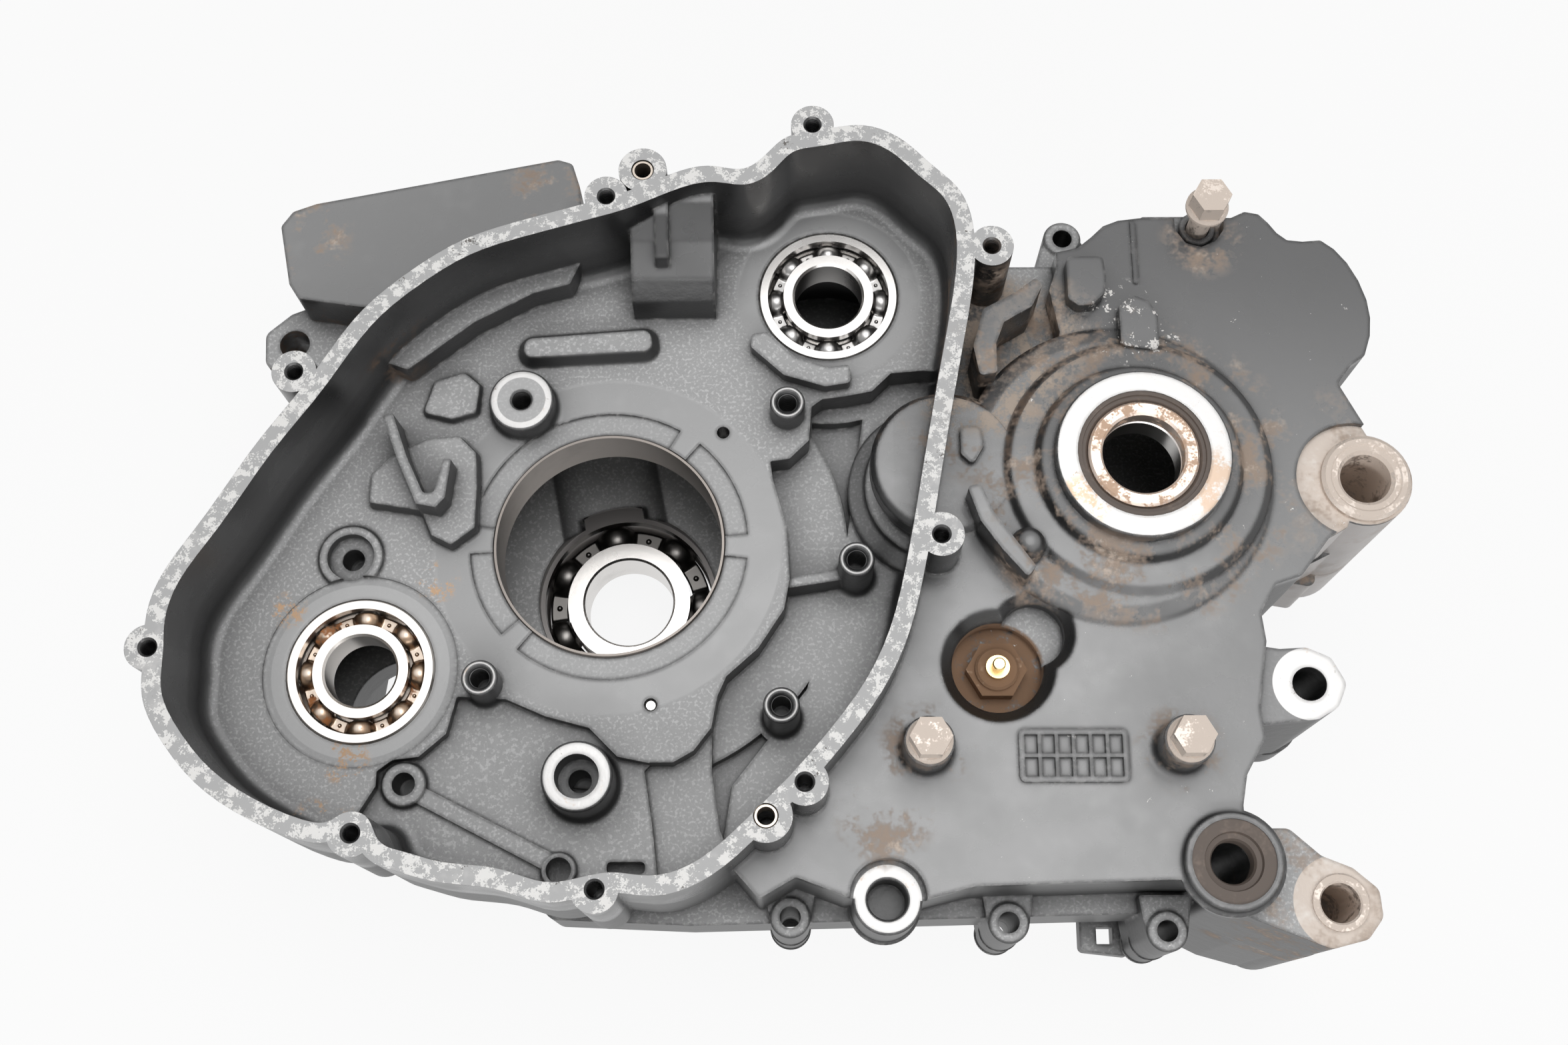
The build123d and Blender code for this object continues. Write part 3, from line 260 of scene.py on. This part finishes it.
# %% Cast grain
cast_grain, g_in, g_out = new_group("Cast grain", [("Size", FLOAT, 0.0006)], [("Height", FLOAT)])
here = put(cast_grain, "ShaderNodeTexCoord").outputs["Object"]
scale = maths(cast_grain, "DIVIDE", 1.0, g_in.outputs["Size"])
fine = put(cast_grain, "ShaderNodeTexNoise", Vector=here, Scale=scale, Detail=3.0, Roughness=0.6)
coarse_scale = maths(cast_grain, "MULTIPLY", scale, 0.22)
coarse = put(cast_grain, "ShaderNodeTexNoise", Vector=here, Scale=coarse_scale, Detail=2.0)
peel = maths(cast_grain, "ADD", maths(cast_grain, "MULTIPLY", fine.outputs[0], 0.5), coarse.outputs[0])
cast_grain.links.new(peel, g_out.inputs["Height"])
print("group", cast_grain.name)

# %% [markdown]
# Now the paint itself. Upright walls keep the near-black paint. Faces that look up are painted
# lighter grey, partly from dust and rubbing and partly as painted light where the lamps fall on
# them. Corners, which an Ambient Occlusion node finds, are painted black as painted shade. Then
# machined faces, the scraped cover flange, brown dirt, rust streaks and white splashes are
# laid over the paint one after another. Places are given in millimetres in the case's frame.

# %% Colours of the case
BLACK = (0.016, 0.016, 0.0165)
# GREYED, PALE and COVERED go on faces that look up: greyed by dust, and lighter as painted light
GREYED = (0.22, 0.22, 0.221)
PALE = (0.36, 0.36, 0.36)
COVERED = [(0.36, 0.36, 0.361), (0.54, 0.54, 0.54)]
LID = (0.085, 0.085, 0.086)
SPECK = (0.72, 0.72, 0.72)
MILLED = (0.42, 0.42, 0.42)
BARE = (0.72, 0.71, 0.70)
RUBBED_AND_HIGHLIT_EDGE = (0.50, 0.49, 0.48)
SEALANT = (0.46, 0.46, 0.46)
SCRAPED = (0.66, 0.65, 0.64)
CHALK = (0.86, 0.85, 0.83)
PIT = (0.11, 0.10, 0.09)
DIRT = (0.74, 0.62, 0.52)
OLD_DIRT = (0.42, 0.32, 0.25)
DARK_DIRT = (0.16, 0.105, 0.07)
POCKET_DUST = (0.56, 0.46, 0.375)
NEST_RUST = (0.27, 0.165, 0.10)
STREAK = (0.78, 0.48, 0.26)
TUBE_GREY = (0.66, 0.62, 0.60)
SPLASH = (0.84, 0.81, 0.78)
RUST = (0.50, 0.19, 0.06)
MM = 0.001


def round_mask(tree, x, y, inner, outer, low, high, soft=0.3):
    """A ring round the upright axis at x, y, between two radii and two heights."""
    limits = {"Inner": inner, "Outer": outer, "Low": low, "High": high, "Soft": soft}
    limits = {name: value * MM for name, value in limits.items()}
    return use_group(tree, round_place, Centre=(x * MM, y * MM, 0), **limits)["Mask"]


def patch_mask(tree, scale, cover, softness=0.05, shift=(0, 0, 0)):
    return use_group(tree, patches, Scale=scale, Cover=cover, Softness=softness, Shift=shift)["Mask"]


def either(tree, masks):
    """The strongest of several masks."""
    result = masks[0]
    for other in masks[1:]:
        result = maths(tree, "MAXIMUM", result, other)
    return result


def both_of(tree, *masks):
    """Where all of the masks hold."""
    result = masks[0]
    for other in masks[1:]:
        result = maths(tree, "MULTIPLY", result, other)
    return result


def outside_of(tree, mask):
    return maths(tree, "SUBTRACT", 1.0, mask)


def rings(tree, places, soft=0.3):
    """Where any of the listed rings is."""
    return either(tree, [round_mask(tree, *place, soft) for place in places])


def lay_over(tree, colour, layers):
    """Blends each layer's colour over what lies below it, as strongly as the layer says."""
    for mask, strength, over in layers:
        share = mask if strength == 1.0 else maths(tree, "MULTIPLY", mask, strength)
        colour = blend_colour(tree, share, colour, over)
    return colour


def true_normal(tree):
    return put(tree, "ShaderNodeNewGeometry").outputs["Normal"]


def up_part(tree, normal):
    """How far a direction points up: one where it is upright."""
    return put(tree, "ShaderNodeSeparateXYZ", Vector=normal).outputs["Z"]


def new_material(name):
    material = bpy.data.materials.new(name)
    material.use_nodes = True
    return material, material.node_tree, material.node_tree.nodes["Principled BSDF"]


print("colours and masks ready")

# %% Case paint: painted light where faces look up, painted shade in corners
case_paint, tree, shader = new_material("case_paint")
place = put(tree, "ShaderNodeTexCoord").outputs["Object"]
spread = put(tree, "ShaderNodeSeparateXYZ", Vector=place).outputs
height = spread["Z"]
edge_width = ramp(tree, height, 41.5 * MM, 42.5 * MM, 2.0 * MM, 0.3 * MM)
worn_and_highlit_edges = use_group(tree, edge_wear_and_highlight, Width=edge_width, Amount=0.7)
facing_up = ramp(tree, up_part(tree, true_normal(tree)), 0.90, 0.97)
# Painted light: where the rounded normal looks up, the lighter grey is kept
lit = ramp(tree, up_part(tree, worn_and_highlit_edges["Soft normal"]), 0.78, 0.995)
# Painted shade: the Ambient Occlusion node finds corners, which are painted black
corner_shade = put(tree, "ShaderNodeAmbientOcclusion", Distance=14 * MM)
corner_shade.samples = 3
out_of_painted_shade = ramp(tree, corner_shade.outputs["AO"], 0.42, 0.86)

outside_cover = ramp(tree, height, 14 * MM, 19 * MM)
SMOOTH = [(0, 0, 0, 62, -1, 2), (-85.1, -45.9, 0, 33, -1, 2), (78.4, 95.9, 0, 34, -1, 2)]
smooth = either(tree, [rings(tree, SMOOTH, 2.0), outside_cover])
grainy = outside_of(tree, smooth)
cloudy = patch_mask(tree, 16.0, 0.5, 0.4)
under_cover = blend_colour(tree, cloudy, *COVERED)
colour = blend_colour(tree, outside_cover, under_cover, blend_colour(tree, cloudy, GREYED, PALE))
behind_bore = maths(tree, "GREATER_THAN", spread["X"], 100 * MM)
rear_lid = both_of(tree, outside_cover, ramp(tree, spread["Y"], 0.0, 110 * MM), behind_bore)
noise = put(tree, "ShaderNodeTexNoise", Vector=place, Scale=900.0, Detail=2.5, Roughness=0.5)
light_speck = both_of(tree, ramp(tree, noise.outputs[0], 0.50, 0.66), grainy)
colour = lay_over(tree, colour, [(rear_lid, 1.0, LID), (light_speck, 0.5, SPECK)])
# Painted light and shade: black where a face does not look up or lies in a corner, grey elsewhere
colour = blend_colour(tree, both_of(tree, lit, out_of_painted_shade), BLACK, colour)
print("places with smooth paint:", len(SMOOTH))

# %% Case paint: machined faces and the cover flange
MACHINED = [
    (63.3, 49.1, 0, 6.2, 11.0, 13), (87.3, -9.2, 0, 6.2, 11.0, 13), (61.2, -60.6, 0, 6.2, 11.0, 13),
    (-41.5, -51.0, 0, 6.2, 11.0, 13), (-32, 51, 8.6, 11.5, 9.2, 11), (-7, -85, 0, 12, 13.0, 15),
    (183.8, 20.2, 22, 29.9, 36.8, 39), (238, -55, 0, 12.4, 16.5, 19), (95.8, -125.5, 6, 11.2, 12.5, 15),
]
LIGHTLY_MILLED = [(-32, 51, 0, 9, 9.2, 11), (-85.1, -45.9, 26, 31, -1, 0.4)]
LUG_FACES = [(259.8, 16.3, 0, 22, 16.5, 20), (244, -126.3, 0, 15.5, 8, 11)]
machined = both_of(tree, rings(tree, MACHINED), facing_up)
milled = both_of(tree, rings(tree, LIGHTLY_MILLED), facing_up)
lug_faces = both_of(tree, rings(tree, LUG_FACES), facing_up)

# Bare metal has brown and grey stains, and rust where water stood on the output boss
rust_right = round_mask(tree, 210, 8, 0, 13, 36, 40, 8.0)
rust_left = round_mask(tree, 162, 3, 0, 9, 36, 40, 6.0)
rusted_rim = both_of(tree, either(tree, [rust_right, rust_left]), patch_mask(tree, 140.0, 0.62, 0.12, (2, 6, 0)))
tarnish = blend_colour(tree, patch_mask(tree, 110.0, 0.40, 0.15, (4, 4, 0)), BARE, (0.62, 0.53, 0.45))
tarnish = lay_over(tree, tarnish, [
    (patch_mask(tree, 260.0, 0.26, 0.06, (7, 2, 0)), 1.0, (0.36, 0.33, 0.30)),
    (rusted_rim, 1.0, (0.60, 0.38, 0.22)),
])
weather = patch_mask(tree, 60.0, 0.5, 0.25, (2, 8, 0))
weathered = blend_colour(tree, weather, (0.72, 0.62, 0.54), (0.90, 0.84, 0.78))

# The flange lies above everything else, so its height alone finds it
flange_face = both_of(tree, maths(tree, "GREATER_THAN", height, 42.7 * MM), facing_up)
scraped = both_of(tree, flange_face, patch_mask(tree, 40.0, 0.42, 0.2, (3, 1, 0)))
flakes = both_of(tree, flange_face, patch_mask(tree, 210.0, 0.50, 0.05))
pits = both_of(tree, flange_face, patch_mask(tree, 150.0, 0.24, 0.04, (0, 7, 1)))
colour = lay_over(tree, colour, [
    (milled, 0.7, MILLED), (machined, 1.0, tarnish), (lug_faces, 1.0, weathered),
    (flange_face, 1.0, SEALANT), (scraped, 1.0, SCRAPED), (flakes, 1.0, CHALK), (pits, 1.0, PIT),
    # Worn edges, lighter also as a painted highlight along each edge
    (worn_and_highlit_edges["Mask"], 1.0, RUBBED_AND_HIGHLIT_EDGE),
])
print("machined places:", len(MACHINED) + len(LIGHTLY_MILLED) + len(LUG_FACES))

# %% Case paint: dirt, rust streaks and splashes
DIRTY = [
    (183.8, 20.2, 29, 56, 19, 36), (146, 62, 0, 30, 4, 40), (128, 40, 0, 24, 4, 40),
    (150, -14, 0, 15, 14, 40), (244, -126.3, 10, 30, -60, 12), (259.8, 16.3, 0, 34, -60, 20),
    (-112, 110, 0, 16, -40, 24), (-14, 134, 0, 24, -40, 24), (95, -100, 0, 14, 12, 30),
    (192.6, -77.3, 8, 13, 16, 38), (109, -77.7, 8, 14, 16, 38), (213, 108, 0, 13, 8, 24),
]
DIRTY_WALLS = [(128, 62, 0, 44, 4, 42), (-100, 92, 0, 40, -60, 24)]
STREAKED = [
    (-88, -77, 0, 8, -8, 3), (-97, -97, 0, 6, -8, 5), (-88, -99, 0, 6, -8, 5),
    (-60, -14, 0, 7, -8, 3), (-112, -24, 0, 6, -8, 3),
]
upright = outside_of(tree, facing_up)
dirt = both_of(tree, rings(tree, DIRTY, 9.0), patch_mask(tree, 60.0, 0.52, 0.16, (1, 5, 2)))
pocket = round_mask(tree, 134, 66, 0, 34, 4, 30, 10.0)
pocket_dust = both_of(tree, pocket, patch_mask(tree, 110.0, 0.60, 0.15, (2, 2, 2)), facing_up)
wall_dirt = both_of(tree, rings(tree, DIRTY_WALLS, 8.0), patch_mask(tree, 45.0, 0.55, 0.2, (4, 2, 2)), upright)
nest = round_mask(tree, 134, -49, 0, 16.4, 7, 16, 1.5)
nest = both_of(tree, nest, patch_mask(tree, 120.0, 0.8, 0.15))
streaks = both_of(tree, rings(tree, STREAKED, 4.0), patch_mask(tree, 150.0, 0.50, 0.10, (5, 5, 0)))
tube_wall = both_of(tree, round_mask(tree, 263.5, 17.2, 12, 26, -90, 16.5), upright)
splash = both_of(tree, ramp(tree, spread["X"], 120 * MM, 150 * MM), facing_up,
                 patch_mask(tree, 200.0, 0.16, 0.02, (9, 0, 0)))
chipped = both_of(tree, round_mask(tree, 186, 74, 0, 17, 18, 40, 5.0),
                  patch_mask(tree, 150.0, 0.36, 0.03, (3, 3, 3)))
dirt_colour = blend_colour(tree, patch_mask(tree, 130.0, 0.5, 0.2, (6, 1, 1)), OLD_DIRT, DIRT)
colour = lay_over(tree, colour, [
    (wall_dirt, 0.8, DARK_DIRT), (pocket_dust, 0.75, POCKET_DUST), (dirt, 0.8, dirt_colour),
    (nest, 1.0, NEST_RUST), (streaks, 0.75, STREAK), (tube_wall, 0.8, TUBE_GREY),
    (either(tree, [splash, chipped]), 1.0, SPLASH),
])
tree.links.new(colour, shader.inputs["Base Color"])
print("dirty places:", len(DIRTY) + len(DIRTY_WALLS) + len(STREAKED))

# %% Case paint: shine
bare = either(tree, [machined, worn_and_highlit_edges["Mask"], maths(tree, "MULTIPLY", milled, 0.4)])
soiled = either(tree, [dirt, pocket_dust, nest, streaks, wall_dirt])
clean_metal = both_of(tree, bare, outside_of(tree, soiled))
tree.links.new(maths(tree, "MULTIPLY", clean_metal, 0.35), shader.inputs["Metallic"])
cloud = put(tree, "ShaderNodeTexNoise", Scale=60.0, Detail=4.0, Vector=place)
rough = ramp(tree, cloud.outputs[0], 0.3, 0.7, 0.24, 0.33)
for mask, roughness in ((grainy, 0.42), (flange_face, 0.6), (soiled, 0.92)):
    rough = blend_value(tree, mask, rough, roughness)
tree.links.new(rough, shader.inputs["Roughness"])
shader.inputs["Specular IOR Level"].default_value = 0.75
print("shine of the case set")

# %% [markdown]
# Screw holes are plain in the model. A sine of the height, seen only inside them, gives the
# look of a thread with a pitch of one millimetre.

# %% Case paint: grain and threads
THREADED = [
    (-144.0, -47.8), (-104.5, 48.5), (-0.2, 114.6), (72.4, 142.6), (134.5, 94.9), (114.3, -9.9),
    (68.9, -91.8), (3.4, -125.2), (-73.8, -107.8), (63.3, 49.1), (87.3, -9.2), (61.2, -60.6),
    (-41.5, -51.0), (-32, 51),
]
PITCH = 1.0 * MM
HOLE_RADIUS, HOLE_LOW, HOLE_HIGH = 3.6, -14, 42.2
in_hole = rings(tree, [(x, y, 0, HOLE_RADIUS, HOLE_LOW, HOLE_HIGH) for x, y in THREADED])
wave = maths(tree, "SINE", maths(tree, "MULTIPLY", height, 2 * math.pi / PITCH))
thread = maths(tree, "MULTIPLY", wave, in_hole)
grain = use_group(tree, cast_grain, Size=0.9 * MM)["Height"]
grain = maths(tree, "MULTIPLY", grain, blend_value(tree, smooth, 1.0, 0.16))
relief = maths(tree, "ADD", maths(tree, "MULTIPLY", grain, 0.18 * MM),
               maths(tree, "MULTIPLY", thread, 0.25 * MM))
bump = put(tree, "ShaderNodeBump", Height=relief, Normal=worn_and_highlit_edges["Soft normal"],
           Strength=0.8, Distance=1.0)
tree.links.new(bump.outputs[0], shader.inputs["Normal"])
print("case paint nodes:", len(tree.nodes))

# %% [markdown]
# Ground bearing steel is bright and smooth. Its rust is a rough orange-brown crust that
# sits in patches, so one maker function takes how much rust a piece has.

# %% Steel
def steel(name, base, roughness, rust_cover, rust_colour=RUST, scale=70.0, lit_flat_colour=None):
    """Steel with stains and rust; lit_flat_colour is a lighter colour painted on what faces up, as painted
    light.
    """
    material, tree, shader = new_material(name)
    rusty = patch_mask(tree, scale, rust_cover, 0.1, (len(name), 2, 1))
    stain = patch_mask(tree, scale * 0.4, 0.5, 0.4, (2, len(name), 0))
    stained = tuple(c * 0.6 for c in base)
    colour = blend_colour(tree, maths(tree, "MULTIPLY", stain, 0.5), base, stained)
    if lit_flat_colour:
        # Painted light: faces that look up get the lit flat colour
        flat = ramp(tree, up_part(tree, true_normal(tree)), 0.93, 0.995)
        colour = blend_colour(tree, flat, colour, lit_flat_colour)
    colour = blend_colour(tree, rusty, colour, rust_colour)
    tree.links.new(colour, shader.inputs["Base Color"])
    tree.links.new(blend_value(tree, rusty, 1.0, 0.05), shader.inputs["Metallic"])
    smear = blend_value(tree, stain, roughness, roughness + 0.08)
    tree.links.new(blend_value(tree, rusty, smear, 0.85), shader.inputs["Roughness"])
    skin = use_group(tree, cast_grain, Size=0.5 * MM)["Height"]
    bump = put(tree, "ShaderNodeBump", Height=skin, Strength=0.15, Distance=0.05 * MM)
    tree.links.new(bump.outputs[0], shader.inputs["Normal"])
    return material


# Base colour, roughness, share of rust, then rust colour and the size of its patches
bright_steel = steel("bright_bearing_steel", (0.70, 0.68, 0.66), 0.26, 0.02)
rusty_ring = steel("rusty_bearing_steel", (0.74, 0.70, 0.66), 0.28, 0.30, (0.60, 0.30, 0.15))
# Painted shade: darker copies of bearing and cage steel for the right main bearing's outer race, balls and cage,
# which lie in shade; the steel is oily too
oily_and_shaded_steel = steel("oily_bearing_steel", (0.17, 0.16, 0.155), 0.36, 0.04)
pressed_cage = steel("pressed_cage_steel", (0.26, 0.255, 0.25), 0.30, 0.04, lit_flat_colour=(0.50, 0.49, 0.48))
oily_and_shaded_cage = steel("oily_cage_steel", (0.10, 0.095, 0.09), 0.36, 0.04, lit_flat_colour=(0.22, 0.21, 0.20))
rusty_cage = steel("rusty_cage_steel", (0.30, 0.215, 0.15), 0.32, 0.40, (0.42, 0.17, 0.06),
                   lit_flat_colour=(0.52, 0.44, 0.37))
collar_steel = steel("collar_steel", (0.74, 0.63, 0.55), 0.45, 0.55, (0.66, 0.46, 0.33), 130.0)
bolt_steel = steel("bolt_steel", (0.56, 0.50, 0.45), 0.5, 0.7, (0.74, 0.64, 0.56), 160.0)
mount_steel = steel("mount_steel", (0.56, 0.50, 0.45), 0.5, 0.66, (0.74, 0.64, 0.56), 110.0)
liner_steel = steel("liner_steel", (0.20, 0.18, 0.165), 0.36, 0.16, (0.26, 0.18, 0.12))
dowel_steel = steel("dowel_steel", (0.50, 0.44, 0.38), 0.38, 0.3, (0.34, 0.22, 0.14))
switch_steel = steel("switch_steel", (0.42, 0.30, 0.21), 0.6, 0.75, (0.24, 0.14, 0.08))
print("steels made")

# %% Seals and brass
seal_rubber, tree, shader = new_material("seal_rubber")
dusty = blend_colour(tree, patch_mask(tree, 80.0, 0.5, 0.3), (0.12, 0.095, 0.08), (0.26, 0.20, 0.165))
tree.links.new(dusty, shader.inputs["Base Color"])
shader.inputs["Roughness"].default_value = 0.62
brass, tree, shader = new_material("tarnished_brass")
dull = blend_colour(tree, patch_mask(tree, 160.0, 0.5, 0.3), (0.72, 0.55, 0.28), (0.33, 0.24, 0.13))
tree.links.new(dull, shader.inputs["Base Color"])
shader.inputs["Metallic"].default_value = 1.0
shader.inputs["Roughness"].default_value = 0.3
print("rubber and brass made")

# %% Give each piece its finish
FINISH = {
    "left_crankcase": case_paint, "right_crankcase": case_paint, "main_bore_liner": liner_steel,
    "front_balancer_outer_race": rusty_ring, "front_balancer_inner_race": rusty_ring,
    "front_balancer_balls": rusty_ring, "front_balancer_cage": rusty_cage,
    "rear_balancer_outer_race": bright_steel, "rear_balancer_inner_race": bright_steel,
    "rear_balancer_balls": bright_steel, "rear_balancer_cage": pressed_cage,
    "right_main_outer_race": oily_and_shaded_steel, "right_main_inner_race": bright_steel,
    "right_main_balls": oily_and_shaded_steel, "right_main_cage": oily_and_shaded_cage,
    "output_outer_race": bright_steel, "output_inner_race": bright_steel,
    "output_balls": bright_steel, "output_cage": pressed_cage,
    "output_seal": seal_rubber, "output_collar": collar_steel, "shift_shaft_seal": seal_rubber,
    "neutral_switch_body": switch_steel, "neutral_switch_terminal": brass,
    "upper_mount_bush": mount_steel, "lower_mount_sleeve": mount_steel,
    "case_bolts": bolt_steel, "long_case_bolt": bolt_steel,
    "cover_dowels": dowel_steel, "split_dowels": dowel_steel, "gallery_plugs": bright_steel,
}
for name, material in FINISH.items():
    piece = nodes[name]
    piece.data.materials.clear()
    piece.data.materials.append(material)
print("finished pieces:", len(FINISH))

# %% [markdown]
# The cage of a ball bearing is two pressed steel ribbons riveted together. Each ribbon lies
# flat between the balls and swells into a half cup over every ball. The CAD cage is a plain
# band with holes, so a mesh is laid out here on a grid of angles and radii: the height of
# each point is that of a ball a little larger than the real one, but never below the flat.

# %% Pressed cages
BALLS = {"front_balancer": 8, "rear_balancer": 8, "right_main": 7}
SHEET = 0.6 * MM
BALL_PLAY = 0.15 * MM
ACROSS, ROUND = 8, 30


def ribbon_height(ball, off_middle, along, floor):
    """Height over the middle plane of a cup's skin, or of the flat where there is no ball."""
    under = ball * ball - off_middle * off_middle - along * along
    return max(math.sqrt(under) if under > 0 else 0.0, floor)


def pressed_ribbons(name, count):
    """Both ribbons of a cage with its rivets, laid out where the model's cage band is."""
    low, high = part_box(name + "_cage")
    middle = (low + high) / 2
    ball = (high.z - low.z - 1.0 * MM) / 2
    pitch = (high.x - low.x) / 2 - 0.30 * ball
    half_band = 0.50 * ball
    turn = 2 * math.pi / count
    steps = count * ROUND
    skins = (("outer", ball + BALL_PLAY + SHEET, SHEET), ("inner", ball + BALL_PLAY, 0.02 * MM))
    mesh = bmesh.new()

    def spot_at(radius, angle, height):
        return middle + Vector((radius * math.cos(angle), radius * math.sin(angle), height))

    def add_face(corners, forwards):
        mesh.faces.new(corners if forwards else corners[::-1])

    for side in (1, -1):
        point = {}
        for skin, radius, floor in skins:
            for i in range(steps):
                angle = 2 * math.pi * i / steps
                from_ball = (angle + turn / 2) % turn - turn / 2
                for j in range(ACROSS + 1):
                    off = -half_band + 2 * half_band * j / ACROSS
                    height = side * ribbon_height(radius, off, pitch * from_ball, floor)
                    point[skin, i, j] = mesh.verts.new(spot_at(pitch + off, angle, height))
        for i in range(steps):
            k = (i + 1) % steps
            for j in range(ACROSS):
                for skin, forwards in (("outer", side > 0), ("inner", side < 0)):
                    add_face([point[skin, i, j], point[skin, i, j + 1],
                              point[skin, k, j + 1], point[skin, k, j]], forwards)
            for j, forwards in ((0, side < 0), (ACROSS, side > 0)):
                add_face([point["outer", i, j], point["inner", i, j],
                          point["inner", k, j], point["outer", k, j]], forwards)
    for i in range(count):
        for side in (1, -1):
            head = Matrix.Translation(spot_at(pitch, turn * (i + 0.5), side * SHEET))
            bmesh.ops.create_icosphere(mesh, subdivisions=3, radius=0.17 * ball, matrix=head)
    data = bpy.data.meshes.new(name + "_ribbons")
    mesh.to_mesh(data)
    mesh.free()
    data.shade_smooth()
    ribbons = bpy.data.objects.new(name + "_ribbons", data)
    bpy.context.scene.collection.objects.link(ribbons)
    return ribbons


for name, count in BALLS.items():
    ribbons = pressed_ribbons(name, count)
    ribbons.data.materials.append(FINISH[name + "_cage"])
    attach(ribbons, name + "_train")
    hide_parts(name + "_cage")
    print(ribbons.name, "faces:", len(ribbons.data.polygons))

# %% [markdown]
# A white table in a white photo tent. What the camera and mirror-like surfaces see of both is
# plain white, by the Light Path node, while the light that falls on the case is much softer.
# A wide lamp above and behind, a softbox and a narrow strip in front give it its shape.

# %% Table and light
WHITE = (1, 1, 1, 1)


def seen_directly(tree):
    """One for what the camera sees, also in a mirror or through glass."""
    rays = put(tree, "ShaderNodeLightPath").outputs
    return either(tree, [rays["Is Camera Ray"], rays["Is Glossy Ray"], rays["Is Transmission Ray"]])


def mix_shaders(tree, share, first, second, output):
    both = put(tree, "ShaderNodeMixShader", i0=share)
    tree.links.new(first.outputs[0], both.inputs[1])
    tree.links.new(second.outputs[0], both.inputs[2])
    tree.links.new(both.outputs[0], tree.nodes[output].inputs[0])


floor_z = cad_box[0][2] - 0.5 * MM
bpy.ops.mesh.primitive_plane_add(size=6.0, location=(0.06, 0, floor_z))
table_top = bpy.context.object
table_top.name = "white_table"
table_white, tree, shader = new_material("white_table")
shader.inputs["Base Color"].default_value = (0.86, 0.86, 0.86, 1)
shader.inputs["Roughness"].default_value = 0.9
glow = put(tree, "ShaderNodeEmission", Color=WHITE)
share = maths(tree, "MULTIPLY", seen_directly(tree), 0.9)
mix_shaders(tree, share, shader, glow, "Material Output")
table_top.data.materials.append(table_white)

world = bpy.data.worlds.new("white_tent")
bpy.context.scene.world = world
world.use_nodes = True
tree = world.node_tree
ambient = tree.nodes["Background"]
ambient.inputs["Color"].default_value = WHITE
ambient.inputs["Strength"].default_value = 0.24
tent_wall = put(tree, "ShaderNodeBackground", Color=WHITE, Strength=1.0)
mix_shaders(tree, seen_directly(tree), ambient, tent_wall, "World Output")


def soft_light(name, at, aim, size, watts):
    data = bpy.data.lights.new(name, "AREA")
    data.shape = "RECTANGLE"
    data.size, data.size_y = size
    data.energy = watts
    lamp = bpy.data.objects.new(name, data)
    lamp.location = at
    lamp.rotation_euler = (Vector(aim) - Vector(at)).to_track_quat("-Z", "Y").to_euler()
    bpy.context.scene.collection.objects.link(lamp)


soft_light("tent_top", (0.06, 0.30, 1.25), (0.06, 0.05, 0.0), (1.8, 1.2), 4.0)
soft_light("strip", (0.05, -0.95, 0.62), (0.05, 0.0, 0.0), (1.6, 0.14), 5.0)
soft_light("softbox", (0.22, 0.06, 1.25), (0.05, 0.0, 0.0), (0.8, 0.6), 5.0)
print("table at", round(floor_z, 4))

# %% End of the scene
print("scene built")
